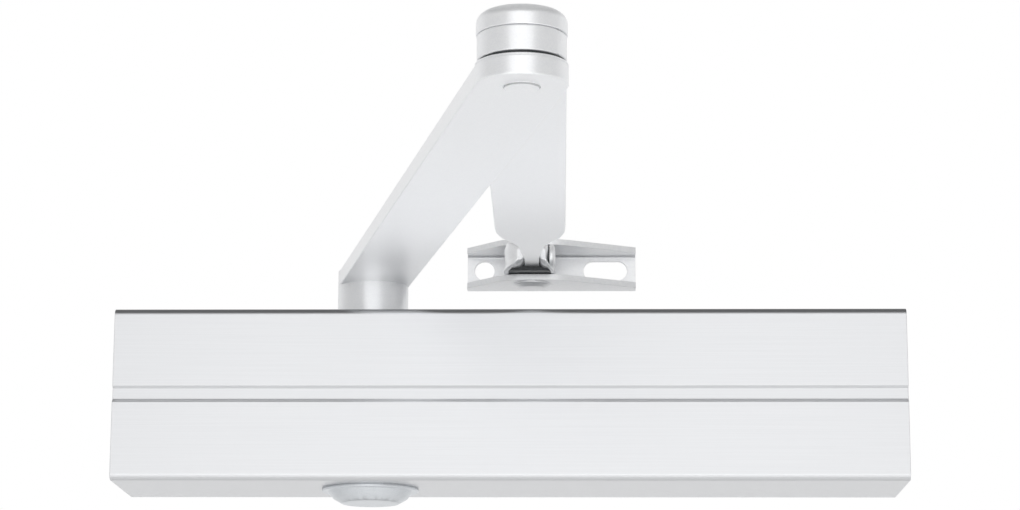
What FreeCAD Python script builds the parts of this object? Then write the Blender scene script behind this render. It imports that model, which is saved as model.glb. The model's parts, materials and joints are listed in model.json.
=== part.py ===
import FreeCAD, Part
import math
import os
import re
import Sketcher

# Overhead door closer: a hydraulic rack and pinion closer in a slim case, with its scissor arm and shoe.
# Millimetres. Origin: middle of the fixing screw pattern on the mounting face. X runs along the case,
# Z points up, and the mounting face is the plane Y = 0, with the case in front of it at negative Y.

Vector = FreeCAD.Vector

# Driving dimensions, each set here once
SIZES = {
    # case and cover
    "case_length": 275,
    "case_height": 60,
    "case_depth": 48,
    "cover_wall": 1.5,
    "cover_edge_radius": 2.3,
    "channel_width": 5.7,
    "channel_depth": 1.0,
    "end_cap_thickness": 2.5,
    "inner_gap": 1.0,
    "front_gap": 2.5,
    "clip_length": 14,
    "clip_width": 10,
    "clip_from_end": 29,
    # mounting plate and its screws
    "plate_thickness": 3,
    "plate_end_gap": 1.0,
    "fixing_from_end": 15.5,
    "fixing_edge": 11.5,
    "fixing_hole_diameter": 6.5,
    "plate_screw_from_end": 24,
    "plate_screw_edge": 5.5,
    "plate_screw_diameter": 5,
    "plate_screw_head": 9.5,
    "plate_screw_length": 14,
    # housing, piston bore and end plugs
    "housing_end_room": 23.5,
    "piston_diameter": 34,
    "plug_length": 8,
    "running_fit": 0.05,
    "seal_thickness": 2.4,
    "seal_offset": 3.5,
    # spindle, pinion and bearings
    "spindle_offset": 64.8,
    "gear_module": 2,
    "gear_teeth": 10,
    "gear_addendum": 1.6,
    "gear_dedendum": 2.0,
    "gear_pressure_angle": 25,
    "gear_backlash": 0.2,
    "gear_half_height": 10.5,
    "journal_diameter": 15,
    "square_width": 11,
    "square_top_gap": 1.0,
    "stub_length": 1.5,
    "pinion_side_gap": 0.65,
    "bearing_cap_floor": 0.5,
    "hub_neck_gap": 0.5,
    "bearing_cap_step": 1.25,
    "bearing_neck_wall": 0.5,
    "bearing_lip": 1.7,
    "lip_clearance": 0.5,
    "bearing_end_gap": 0.3,
    "bearing_shell_wall": 0.9,
    "roller_count": 20,
    "roller_end_gap": 0.5,
    "shaft_seal_gap": 0.3,
    "cover_neck_gap": 1.2,
    "insert_front_gap": 8,
    # spindle cap under the case
    "cap_flange_width": 2,
    "cap_flange_thickness": 1.0,
    "cap_draft": 2,
    "cap_side_wall": 2,
    "cap_face_step": 3,
    "cap_shoulder_drop": 3.6,
    "cap_drop": 5.3,
    "cap_gap": 0.2,
    "cap_wall": 1.4,
    # piston and its rack
    "piston_end_gap": 2,
    "piston_crown": 18,
    "window_gap_left": 2.4,
    "window_gap_right": 1.6,
    "slot_back_gap": 0.5,
    "rack_spaces": 7,
    "rack_spaces_left": 5,
    "piston_groove_from_end": 5,
    "piston_ring_width": 3,
    "piston_ring_depth": 2,
    "valve_ball_diameter": 5.9,
    "valve_seat_diameter": 3.2,
    "valve_pocket_depth": 10,
    # closing springs, their plate and the adjusting screw
    "spring_side_gap": 1,
    "outer_wire": 5,
    "outer_turns": 11,
    "inner_wire": 3.2,
    "inner_turns": 15,
    "spring_plate_gap": 7,
    "spring_plate_thickness": 5,
    "adjuster_diameter": 8,
    "adjuster_length": 36,
    "adjuster_collar_diameter": 14,
    "adjuster_collar_length": 3,
    "adjuster_socket": 4,
    "adjuster_socket_depth": 4,
    # regulating valves in the front of the housing
    "valve_edge": 5.9,
    "valve_offset": 73.2,
    "valve_spacing": 22,
    "valve_diameter": 8,
    "valve_head_length": 7,
    "valve_needle_length": 6,
    "valve_needle_diameter": 3,
    "valve_slot_width": 1.2,
    "valve_slot_depth": 1.5,
    "valve_seal_wire": 1.4,
    # main arm
    "arm_angle": 12.43,
    "arm_swing": 165,
    "arm_reach": 270.75,
    "arm_width": 24.8,
    "arm_thickness": 5.5,
    "arm_hub_diameter": 25,
    "arm_hub_height": 10.7,
    "arm_hub_gap": 1.5,
    "arm_edge_radius": 0.5,
    "arm_screw_diameter": 6,
    "arm_screw_head": 12,
    "arm_screw_length": 18,
    "arm_screw_socket": 4,
    "arm_screw_socket_depth": 3,
    # elbow
    "elbow_pin_diameter": 10,
    "elbow_pin_rise": 2.65,
    "washer_diameter": 23.4,
    "washer_thickness": 1.1,
    "elbow_bush_diameter": 14,
    "elbow_cap_diameter": 24.3,
    "elbow_cap_height": 6.1,
    "elbow_cap_radius": 3,
    # forearm
    "forearm_angle": 0.35,
    "forearm_width": 23.8,
    "forearm_thickness": 7,
    "forearm_edge_radius": 0.5,
    "shoulder_length": 8.5,
    "shoulder_step": 4,
    "shoulder_middle_width": 18.8,
    "neck_taper": 7.5,
    "neck_start_width": 10.8,
    "neck_end": 34,
    "neck_width": 9,
    "tongue_start": 11,
    "tongue_width": 5.1,
    "tongue_height": 7,
    "tongue_overlap": 1,
    "tongue_end_gap": 1,
    "tongue_side_gap": 0.25,
    # yoke between forearm and shoe
    "rivet_depth": 28,
    "shoe_pin_depth": 14.4,
    "shoe_rise": 0.4,
    "yoke_width": 16.4,
    "yoke_side_gap": 0.3,
    "yoke_taper_start": 4.9,
    "yoke_taper_end": 10.5,
    "yoke_ear_thickness": 2.8,
    "rivet_diameter": 3.4,
    "rivet_head_diameter": 8.2,
    "rivet_head_thickness": 2.2,
    "rivet_neck_diameter": 6,
    "rivet_neck_length": 0.6,
    # shoe bracket
    "shoe_left": 23.8,
    "shoe_right": 37.4,
    "shoe_height": 15,
    "shoe_sheet": 2.1,
    "shoe_depth": 22.8,
    "shoe_left_depth": 7.2,
    "shoe_right_depth": 8,
    "shoe_front_width": 18,
    "shoe_bend_radius": 0.8,
    "shoe_hole_diameter": 7.2,
    "shoe_hole_edge": 6.2,
    "shoe_slot_edge": 3,
    "shoe_slot_length": 16,
    "shoe_pin_diameter": 6,
    "shoe_pin_head_diameter": 13,
    "shoe_pin_head_thickness": 1.5,
}

# Places and sizes that follow from the driving dimensions
DERIVED = {
    "spindle_depth": "case_depth / 2",
    "inner_height": "case_height - 2 * cover_wall",
    "housing_height": "inner_height - 2 * inner_gap",
    "housing_front": "case_depth - cover_wall - front_gap",
    "housing_depth": "housing_front - plate_thickness",
    "housing_length": "case_length - 2 * housing_end_room",
    "clip_spacing": "housing_length - 2 * clip_from_end",
    "fixing_spacing_x": "case_length - 2 * fixing_from_end",
    "fixing_spacing_z": "housing_height - 2 * fixing_edge",
    "plate_screw_spacing_x": "housing_length - 2 * plate_screw_from_end",
    "plate_screw_spacing_z": "housing_height - 2 * plate_screw_edge",
    "spindle_x": "spindle_offset - housing_length / 2",
    "insert_depth": "spindle_depth - insert_front_gap",
    "bore_radius": "piston_diameter / 2",
    "pitch_radius": "gear_module * gear_teeth / 2",
    "gear_pitch": "gear_module * pi",
    "tip_radius": "pitch_radius + gear_addendum",
    "piston_stroke": "pitch_radius * arm_swing * pi / 180",
    "bearing_cap_diameter": "2 * (tip_radius + pinion_side_gap)",
    "bearing_neck_diameter": "bearing_cap_diameter - 2 * bearing_cap_step",
    "bearing_diameter": "bearing_neck_diameter - 2 * bearing_neck_wall",
    "bearing_cap_rise": "inner_gap + cover_wall + arm_hub_gap - hub_neck_gap",
    "roller_diameter": "(bearing_diameter - journal_diameter) / 2 - bearing_shell_wall - 2 * running_fit",
    "shaft_seal_wire": "(bearing_diameter - journal_diameter) / 4 - running_fit",
    "cap_bore_radius": "bearing_cap_diameter / 2 + running_fit",
    "cap_inner_end": "bore_radius + bearing_cap_floor",
    "cap_outer_end": "housing_height / 2 + bearing_cap_rise",
    "bearing_start": "cap_inner_end + bearing_end_gap",
    "bearing_end": "cap_outer_end - bearing_lip - 2 * (shaft_seal_wire + shaft_seal_gap)",
    "bearing_height": "bearing_end - bearing_start",
    "cap_base_diameter": "bearing_neck_diameter + 2 * cap_side_wall",
    "cap_face_diameter": "cap_base_diameter - 2 * cap_face_step",
    "cap_top_diameter": "cap_base_diameter + 2 * cap_draft",
    "cap_flange_diameter": "cap_top_diameter + 2 * cap_flange_width",
    "cover_slot_radius": "bearing_neck_diameter / 2 + cover_neck_gap",
    "arm_hub_level": "case_height / 2 + arm_hub_gap",
    "arm_level": "arm_hub_level + arm_hub_height",
    "arm_top": "arm_level + arm_thickness",
    "arm_sink_depth": "(arm_screw_head - arm_screw_diameter) / 2",
    "square_top": "arm_top - arm_sink_depth - square_top_gap",
    "elbow_x": "spindle_x + arm_reach * sin(arm_angle)",
    "elbow_y": "-spindle_depth - arm_reach * cos(arm_angle)",
    "forearm_level": "arm_top + washer_thickness + running_fit",
    "forearm_top": "forearm_level + forearm_thickness",
    "elbow_pin_length": "forearm_top - arm_level + elbow_pin_rise",
    "neck_start": "neck_end + neck_taper",
    "shoulder_middle": "neck_start + shoulder_step",
    "shoulder_start": "shoulder_middle + shoulder_length",
    "shoe_level": "forearm_level + forearm_thickness / 2 + shoe_rise",
    "forearm_reach": "(-elbow_y - rivet_depth) / cos(forearm_angle)",
    "pin_reach": "(-elbow_y - shoe_pin_depth) / cos(forearm_angle)",
    "rivet_to_pin": "pin_reach - forearm_reach",
    "pin_x": "elbow_x - pin_reach * sin(forearm_angle)",
    "yoke_height": "shoe_height - 2 * shoe_sheet - 2 * yoke_side_gap",
    "yoke_slot_width": "tongue_width + 2 * tongue_side_gap",
    "yoke_ear_width": "yoke_slot_width + 2 * yoke_ear_thickness",
    "yoke_slot_start": "rivet_to_pin - tongue_height / 2 - tongue_end_gap",
    "shoe_hole_offset": "shoe_left - shoe_hole_edge",
    "shoe_slot_offset": "shoe_right - shoe_slot_edge - shoe_slot_length / 2",
    "yoke_bore_radius": "shoe_pin_diameter / 2 + running_fit",
    "plug_start": "housing_length / 2 - plug_length",
    "piston_left_end": "piston_end_gap - plug_start",
    "window_start": "spindle_x - tip_radius - piston_stroke - window_gap_left - piston_left_end",
    "window_end": "spindle_x + tip_radius + window_gap_right - piston_left_end",
    "piston_length": "window_end + piston_crown",
    "outer_spring_diameter": "piston_diameter - 2 * spring_side_gap",
    "inner_spring_diameter": "outer_spring_diameter - 2 * outer_wire - 2 * spring_side_gap",
    "spring_plate_x": "plug_start - spring_plate_gap - spring_plate_thickness",
    "adjuster_start": "housing_length / 2 - adjuster_length",
    "valve_height": "valve_edge - housing_height / 2",
    "valve_first_x": "spindle_x + valve_offset",
    "piston_face_x": "piston_left_end + piston_length",
    "channel_floor": "case_depth - channel_depth",
    "rib_floor": "channel_floor - cover_wall",
    "cover_inside": "case_depth - cover_wall",
    "channel_floor_width": "channel_width - 2 * channel_depth",
}

doc = FreeCAD.newDocument("door_closer")
sheet = doc.addObject("Spreadsheet::Sheet", "sizes")
for row, (alias, value) in enumerate(SIZES.items(), start=1):
    sheet.set("A%d" % row, alias.replace("_", " "))
    sheet.set("B%d" % row, str(value))
    sheet.setAlias("B%d" % row, alias)
doc.recompute()


def bound(text):
    """The expression as the document wants it, with each name looked up in the sheet."""
    def swap(match):
        word = match.group(0)
        if word in SIZES:
            return "sizes." + word
        if word in DERIVED:
            return "(" + bound(DERIVED[word]) + ")"
        return word
    return re.sub(r"[a-z_]+", swap, str(text))


def number(text):
    """The value that an expression has now."""
    return float(sheet.evalExpression(bound(text)))


# Makers for primitives, which take expressions and bind them to the sheet

AXIS_TURN = {
    "Z": FreeCAD.Rotation(),
    "X": FreeCAD.Rotation(Vector(0, 1, 0), 90),
    "Y": FreeCAD.Rotation(Vector(1, 0, 0), -90),
}


def place(item, at, axis="Z", turn=None):
    item.Placement = FreeCAD.Placement(Vector(), AXIS_TURN[axis])
    for letter, text in zip("xyz", at):
        item.setExpression("Placement.Base." + letter, bound(text))
    if turn is not None:
        item.Placement = FreeCAD.Placement(Vector(), FreeCAD.Rotation(Vector(0, 0, 1), 1))
        item.setExpression("Placement.Rotation.Angle", bound(turn))
    return item


def make(kind, name, at, axis, **lengths):
    item = doc.addObject("Part::" + kind, name)
    for key, text in lengths.items():
        item.setExpression(key, bound(text))
    return place(item, at, axis)


def box(name, size, at):
    return make("Box", name, at, "Z", Length=size[0], Width=size[1], Height=size[2])


def cylinder(name, radius, height, at, axis="Z"):
    return make("Cylinder", name, at, axis, Radius=radius, Height=height)


def cone(name, radius, top_radius, height, at, axis="Z"):
    return make("Cone", name, at, axis, Radius1=radius, Radius2=top_radius, Height=height)


def ring(name, radius, wire, at, axis="Z"):
    return make("Torus", name, at, axis, Radius1=radius, Radius2=wire)


def groove_tool(name, outer, inner, width, at, axis):
    """A square ring that cuts a seal groove; its start is half its width before the place given."""
    index = "XYZ".index(axis)
    start = list(at)
    start[index] = "%s - (%s) / 2" % (at[index], width)
    around = cylinder(name + "_around", outer, width, start, axis)
    core = cylinder(name + "_core", inner, width, start, axis)
    return cut(name, around, core)


def fuse(name, *items):
    joined = doc.addObject("Part::MultiFuse", name)
    joined.Shapes = list(items)
    joined.Refine = True
    return joined


def cut(name, base, *tools):
    result = doc.addObject("Part::Cut", name)
    result.Base = base
    result.Tool = tools[0] if len(tools) == 1 else fuse(name + "_cuts", *tools)
    return result


def group(name, items):
    together = doc.addObject("Part::Compound", name)
    together.Links = items
    return together


def prism(name, sides, width, height, at, axis="Z", turn=None):
    """A prism with even sides, for a key or its socket; width is across the flats."""
    item = doc.addObject("Part::Prism", name)
    item.Polygon = sides
    item.setExpression("Circumradius", bound("(%s) / 2 / cos(180 / %d)" % (width, sides)))
    item.setExpression("Height", bound(height))
    return place(item, at, axis, turn)


# Makers for bodies with sketched features


def new_body(name, at=(0, 0, 0), turn=None):
    return place(doc.addObject("PartDesign::Body", name), at, "Z", turn)


def new_sketch(body, name, plane, level):
    """A sketch on one of the body's own planes, moved along that plane's normal by level."""
    sketch = body.newObject("Sketcher::SketchObject", name)
    origin_plane = next(f for f in body.Origin.OriginFeatures if f.Role == plane + "_Plane")
    sketch.AttachmentSupport = (origin_plane, "")
    sketch.MapMode = "FlatFace"
    sketch.setExpression("AttachmentOffset.Base.z", bound(level))
    return sketch


def draw_polygon(sketch, points):
    """A closed outline whose corners are tied to the sheet, each given as a pair of expressions."""
    corners = [Vector(number(x), number(y), 0) for x, y in points]
    count = len(corners)
    for i in range(count):
        sketch.addGeometry(Part.LineSegment(corners[i], corners[(i + 1) % count]), False)
    for i in range(count):
        sketch.addConstraint(Sketcher.Constraint("Coincident", i, 2, (i + 1) % count, 1))
    for i, (x, y) in enumerate(points):
        for kind, text, start in (("DistanceX", x, corners[i].x), ("DistanceY", y, corners[i].y)):
            index = sketch.addConstraint(Sketcher.Constraint(kind, -1, 1, i, 1, start))
            sketch.setExpression("Constraints[%d]" % index, bound(text))


def draw_circle(sketch, centre, radius):
    start = Vector(number(centre[0]), number(centre[1]), 0)
    circle = sketch.addGeometry(Part.Circle(start, Vector(0, 0, 1), number(radius)), False)
    index = sketch.addConstraint(Sketcher.Constraint("Radius", circle, number(radius)))
    sketch.setExpression("Constraints[%d]" % index, bound(radius))
    for kind, text, place_now in (("DistanceX", centre[0], start.x), ("DistanceY", centre[1], start.y)):
        index = sketch.addConstraint(Sketcher.Constraint(kind, -1, 1, circle, 3, place_now))
        sketch.setExpression("Constraints[%d]" % index, bound(text))


def feature(body, kind, name, sketch, length):
    """A pad or pocket that runs from its sketch along the plane's normal, or both ways at once."""
    before = body.Shape.Volume if body.Tip else 0.0
    item = body.newObject("PartDesign::" + kind, name)
    item.Profile = sketch
    if length == "through":
        item.Type = "ThroughAll"
        item.SideType = "Symmetric"
    else:
        item.setExpression("Length", bound(length))
        item.Reversed = kind == "Pocket"
    doc.recompute()
    if kind == "Pocket" and not body.Shape.Volume < before - 1e-6:
        raise ValueError(name + " removes nothing")
    return item


def pad(body, name, plane, level, points, length):
    sketch = new_sketch(body, name + "_sketch", plane, level)
    draw_polygon(sketch, points)
    return feature(body, "Pad", name, sketch, length)


def round_pad(body, name, plane, level, centre, radius, length):
    sketch = new_sketch(body, name + "_sketch", plane, level)
    draw_circle(sketch, centre, radius)
    return feature(body, "Pad", name, sketch, length)


def pocket(body, name, plane, level, points, length):
    sketch = new_sketch(body, name + "_sketch", plane, level)
    draw_polygon(sketch, points)
    return feature(body, "Pocket", name, sketch, length)


def bore(body, name, plane, level, centre, radius, length):
    sketch = new_sketch(body, name + "_sketch", plane, level)
    draw_circle(sketch, centre, radius)
    return feature(body, "Pocket", name, sketch, length)


def turned(name, points, at, turn=None):
    """A body turned about its own Z axis from an outline of (radius, height) pairs."""
    body = new_body(name, at, turn)
    sketch = new_sketch(body, name + "_sketch", "XZ", 0)
    draw_polygon(sketch, points)
    item = body.newObject("PartDesign::Revolution", name + "_turn")
    item.Profile = sketch
    item.ReferenceAxis = (sketch, ["V_Axis"])
    item.Angle = 360
    doc.recompute()
    return body


def round_edges(body, name, radius, chosen):
    """Rounds the edges of the body's last feature for which chosen(start, end, edge) is true."""
    base = body.Tip
    names = []
    for i, edge in enumerate(base.Shape.Edges, start=1):
        if chosen(edge.Vertexes[0].Point, edge.Vertexes[-1].Point, edge):
            names.append("Edge%d" % i)
    if not names:
        raise ValueError(name + " finds no edge")
    item = body.newObject("PartDesign::Fillet", name)
    item.Base = (base, names)
    item.setExpression("Radius", bound(radius))
    doc.recompute()
    return item


def near(a, b):
    return abs(a - b) < 1e-4


def mirrored_outline(half):
    """The outline of a piece that is alike on both sides, from the points of its right half."""
    left = [("-(%s)" % x, y) for x, y in reversed(half) if str(x) != "0"]
    return list(half) + left


pieces = []


def keep(item, label):
    """Marks an object as a finished piece; its label names its file."""
    item.Label = label
    pieces.append(item)
    return item


SPINDLE = ("spindle_x", "-spindle_depth")
BORE_AXIS = ("-spindle_depth", 0)


# Cover: one aluminium extrusion, open at the back, with a shallow channel along its face

cover_half = [
    (0, "case_height / 2"),
    ("-case_depth", "case_height / 2"),
    ("-case_depth", "channel_width / 2"),
    ("-channel_floor", "channel_floor_width / 2"),
    ("-channel_floor", "-channel_floor_width / 2"),
    ("-case_depth", "-channel_width / 2"),
    ("-case_depth", "-case_height / 2"),
    (0, "-case_height / 2"),
]
cover_inner = [
    (0, "-inner_height / 2"),
    ("-cover_inside", "-inner_height / 2"),
    ("-cover_inside", "-channel_width / 2 - cover_wall"),
    ("-rib_floor", "-channel_floor_width / 2 - cover_wall"),
    ("-rib_floor", "channel_floor_width / 2 + cover_wall"),
    ("-cover_inside", "channel_width / 2 + cover_wall"),
    ("-cover_inside", "inner_height / 2"),
    (0, "inner_height / 2"),
]


def long_corner(y, z):
    """Picks the edges along X at the height z above and below the middle, y in front of the wall."""
    def chosen(start, end, edge):
        along = near(start.y, end.y) and near(start.z, end.z)
        return along and near(start.y, -y) and near(abs(start.z), z)
    return chosen


profile = new_body("cover_extrusion")
pad(profile, "cover_profile", "YZ", "-case_length / 2", cover_half + cover_inner, "case_length")
round_edges(
    profile, "cover_outer_edges", "cover_edge_radius",
    long_corner(number("case_depth"), number("case_height / 2")),
)
neck_slot = fuse(
    "cover_neck_slot",
    cylinder("cover_neck_round", "cover_slot_radius", "case_height + 2", (*SPINDLE, "-case_height / 2 - 1")),
    box(
        "cover_neck_way",
        ("2 * cover_slot_radius", "spindle_depth + 1", "case_height + 2"),
        ("spindle_x - cover_slot_radius", "-spindle_depth", "-case_height / 2 - 1"),
    ),
)
keep(cut("cover_cut", profile, neck_slot), "cover")

for side, level in (("left", "-case_length / 2"), ("right", "case_length / 2 - end_cap_thickness")):
    cap = new_body(side + "_cap_body")
    pad(cap, side + "_cap_plate", "YZ", level, cover_inner, "end_cap_thickness")
    keep(cap, side + "_end_cap")

clips = []
for side in (-1, 1):
    for level, tag in (("housing_height / 2", "upper"), ("-inner_height / 2", "lower")):
        clips.append(box(
            "clip_%s_%d" % (tag, side + 1),
            ("clip_length", "clip_width", "inner_gap"),
            ("%d * clip_spacing / 2 - clip_length / 2" % side, "-spindle_depth - clip_width / 2", level),
        ))
keep(group("cover_clip_group", clips), "cover_clips")

# Inserts that close the cover's open slots behind the spindle necks

for side, level in (("upper", "housing_height / 2"), ("lower", "-case_height / 2")):
    block = box(
        side + "_insert_block",
        ("2 * (cover_slot_radius - running_fit)", "insert_depth", "inner_gap + cover_wall"),
        ("spindle_x - cover_slot_radius + running_fit", "-insert_depth", level),
    )
    clear = cylinder(
        side + "_insert_clear",
        "bearing_neck_diameter / 2 + cover_neck_gap / 2",
        "inner_gap + cover_wall",
        (*SPINDLE, level),
    )
    keep(cut(side + "_insert_cut", block, clear), side + "_cover_insert")

# Mounting plate, its countersunk screws and the cast housing

plate_length = "case_length - 2 * end_cap_thickness - 2 * plate_end_gap"
corners = [(x, z) for x in (-1, 1) for z in (-1, 1)]
plate_tools = []
screws = []
housing_tools = []
screw_head_depth = "(plate_screw_head - plate_screw_diameter) / 2"
for i, (x, z) in enumerate(corners):
    fixing = ("%d * fixing_spacing_x / 2" % x, "-plate_thickness", "%d * fixing_spacing_z / 2" % z)
    plate_tools.append(cylinder(
        "fixing_hole_%d" % i, "fixing_hole_diameter / 2", "plate_thickness", fixing, "Y"))
    screw_x = "%d * plate_screw_spacing_x / 2" % x
    screw_z = "%d * plate_screw_spacing_z / 2" % z
    shank_start = (screw_x, "-plate_screw_length", screw_z)
    head_start = (screw_x, "-(" + screw_head_depth + ")", screw_z)
    for name, gap in (("hole", "running_fit"), ("screw", "0")):
        shank = cylinder(
            "plate_%s_shank_%d" % (name, i),
            "plate_screw_diameter / 2 + " + gap, "plate_screw_length", shank_start, "Y")
        head = cone(
            "plate_%s_head_%d" % (name, i),
            "plate_screw_diameter / 2 + " + gap,
            "plate_screw_head / 2 + " + gap,
            screw_head_depth, head_start, "Y")
        if name == "hole":
            plate_tools += [shank, head]
            housing_tools.append(cylinder(
                "housing_screw_hole_%d" % i, "plate_screw_diameter / 2 + running_fit",
                "plate_screw_length", shank_start, "Y"))
        else:
            screws.append(fuse("plate_screw_%d" % i, shank, head))
plate_block = box(
    "plate_block",
    (plate_length, "plate_thickness", "housing_height"),
    ("-(" + plate_length + ") / 2", "-plate_thickness", "-housing_height / 2"),
)
keep(cut("plate_cut", plate_block, *plate_tools), "mounting_plate")
keep(group("plate_screw_group", screws), "plate_screws")

housing_block = box(
    "housing_block",
    ("housing_length", "housing_depth", "housing_height"),
    ("-housing_length / 2", "-housing_front", "-housing_height / 2"),
)
housing_tools += [
    cylinder("piston_bore", "bore_radius", "housing_length", ("-housing_length / 2", *BORE_AXIS), "X"),
    cylinder("spindle_bore", "cap_bore_radius", "housing_height", (*SPINDLE, "-housing_height / 2")),
]

# Regulating valves: slotted screws with needle points, in the thick lower front of the housing

VALVES = ("closing_valve", "latching_valve", "backcheck_valve")
valve_seals = []
for i, valve in enumerate(VALVES):
    x = "valve_first_x + %d * valve_spacing" % i
    head_start = (x, "-housing_front", "valve_height")
    needle_start = (x, "-housing_front + valve_head_length", "valve_height")
    for part_name, gap in (("hole", "running_fit"), ("stem", "0")):
        head = cylinder(
            "%s_%s_head" % (valve, part_name), "valve_diameter / 2 - running_fit + " + gap,
            "valve_head_length", head_start, "Y")
        needle = cylinder(
            "%s_%s_needle" % (valve, part_name), "valve_needle_diameter / 2 + " + gap,
            "valve_needle_length", needle_start, "Y")
        if part_name == "hole":
            housing_tools += [head, needle]
            continue
        slot = box(
            valve + "_slot",
            ("valve_diameter", "valve_slot_depth", "valve_slot_width"),
            (x + " - valve_diameter / 2", "-housing_front", "valve_height - valve_slot_width / 2"),
        )
        seal_y = "-housing_front + valve_head_length - valve_seal_wire"
        groove = groove_tool(
            valve + "_groove", "valve_diameter / 2 + 1", "valve_diameter / 2 - running_fit - valve_seal_wire",
            "valve_seal_wire + 2 * running_fit", (x, seal_y, "valve_height"), "Y")
        keep(cut(valve + "_cut", fuse(valve + "_stem", head, needle), slot, groove), valve)
        valve_seals.append(ring(
            valve + "_seal", "valve_diameter / 2 - running_fit - valve_seal_wire / 2",
            "valve_seal_wire / 2 - running_fit / 2", (x, seal_y, "valve_height"), "Y"))
keep(cut("housing_cut", housing_block, *housing_tools), "housing")
keep(group("valve_seal_group", valve_seals), "valve_seals")

# End plugs that close the piston bore, each with a seal ring in a groove

plug_seals = []
plug_radius = "bore_radius - running_fit"
for side, start, seal_x in (
    ("left", "-housing_length / 2", "-plug_start - seal_offset"),
    ("right", "plug_start", "plug_start + seal_offset"),
):
    plug_body = cylinder(side + "_plug_body", plug_radius, "plug_length", (start, *BORE_AXIS), "X")
    ring_radius = "bore_radius - running_fit - seal_thickness / 2"
    groove = groove_tool(
        side + "_plug_groove", "bore_radius + 1", "bore_radius - running_fit - seal_thickness",
        "seal_thickness + 2 * running_fit", (seal_x, *BORE_AXIS), "X")
    tools = [groove]
    if side == "right":
        tools.append(cylinder(
            "adjuster_bore", "adjuster_diameter / 2 + running_fit", "plug_length", (start, *BORE_AXIS), "X"))
    keep(cut(side + "_plug_cut", plug_body, *tools), side + "_end_plug")
    plug_seals.append(ring(
        side + "_plug_seal", ring_radius, "seal_thickness / 2 - running_fit / 2", (seal_x, *BORE_AXIS), "X"))
keep(group("plug_seal_group", plug_seals), "end_plug_seals")

# Spindle bearings, alike above and below: screwed cap, needle bearing and shaft seal

cap_outline = [
    ("bearing_diameter / 2 + running_fit", "cap_inner_end"),
    ("bearing_cap_diameter / 2", "cap_inner_end"),
    ("bearing_cap_diameter / 2", "housing_height / 2"),
    ("bearing_neck_diameter / 2", "housing_height / 2"),
    ("bearing_neck_diameter / 2", "cap_outer_end"),
    ("journal_diameter / 2 + lip_clearance", "cap_outer_end"),
    ("journal_diameter / 2 + lip_clearance", "cap_outer_end - bearing_lip"),
    ("bearing_diameter / 2 + running_fit", "cap_outer_end - bearing_lip"),
]
shell_outline = [
    ("bearing_diameter / 2 - bearing_shell_wall", "bearing_start"),
    ("bearing_diameter / 2", "bearing_start"),
    ("bearing_diameter / 2", "bearing_end"),
    ("bearing_diameter / 2 - bearing_shell_wall", "bearing_end"),
]
roller_circle = "(journal_diameter / 2 + bearing_diameter / 2 - bearing_shell_wall) / 2"
seal_middle = "cap_outer_end - bearing_lip - shaft_seal_wire - shaft_seal_gap"
for side, sign in (("upper", 1), ("lower", -1)):
    def flipped(outline):
        return [(r, "%d * (%s)" % (sign, z)) for r, z in outline]

    keep(turned(side + "_cap_turned", flipped(cap_outline), (*SPINDLE, 0)), side + "_bearing_cap")
    keep(turned(side + "_shell_turned", flipped(shell_outline), (*SPINDLE, 0)), side + "_bearing_shell")
    rollers = []
    for i in range(SIZES["roller_count"]):
        angle = "%d * 360 / roller_count" % i
        low = "bearing_start + roller_end_gap" if sign > 0 else "roller_end_gap - bearing_end"
        rollers.append(cylinder(
            "%s_roller_%d" % (side, i),
            "roller_diameter / 2", "bearing_height - 2 * roller_end_gap",
            (
                "spindle_x + %s * cos(%s)" % (roller_circle, angle),
                "-spindle_depth + %s * sin(%s)" % (roller_circle, angle),
                low,
            ),
        ))
    keep(group(side + "_roller_group", rollers), side + "_bearing_rollers")
    keep(
        ring(
            side + "_shaft_ring", "(bearing_diameter + journal_diameter) / 4", "shaft_seal_wire",
            (*SPINDLE, "%d * (%s)" % (sign, seal_middle)),
        ),
        side + "_shaft_seal",
    )

# Cap over the unused lower end of the spindle, snapped on the lower bearing neck

cap_bottom = "-case_height / 2 - cap_drop"
cap_shoulder = "-case_height / 2 - cap_shoulder_drop"
cap_rim = "-case_height / 2 - cap_gap"
neck_fit = "bearing_neck_diameter / 2 + running_fit"
keep(turned(
    "spindle_cap_turned",
    [
        (neck_fit, cap_rim),
        ("cap_flange_diameter / 2", cap_rim),
        ("cap_flange_diameter / 2", cap_rim + " - cap_flange_thickness"),
        ("cap_top_diameter / 2", cap_rim + " - cap_flange_thickness"),
        ("cap_base_diameter / 2", cap_shoulder),
        ("cap_face_diameter / 2", cap_bottom),
        (0, cap_bottom),
        (0, cap_bottom + " + cap_wall"),
        (neck_fit, cap_bottom + " + cap_wall"),
    ],
    (*SPINDLE, 0),
), "spindle_cap")

# Pinion shaft: ten involute teeth, two journals and a square at each end


def tooth_flank(side, centre, radius):
    """The point of an involute flank at a radius, on the left or right side of a tooth."""
    pressure = math.radians(SIZES["gear_pressure_angle"])
    pitch = number("pitch_radius")
    base = pitch * math.cos(pressure)
    half = (number("gear_pitch") - SIZES["gear_backlash"]) / 4 / pitch
    roll = math.acos(min(1.0, base / radius))
    angle = half + (math.tan(pressure) - pressure) - (math.tan(roll) - roll)
    return Vector(radius * math.cos(centre + side * angle), radius * math.sin(centre + side * angle), 0)


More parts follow.
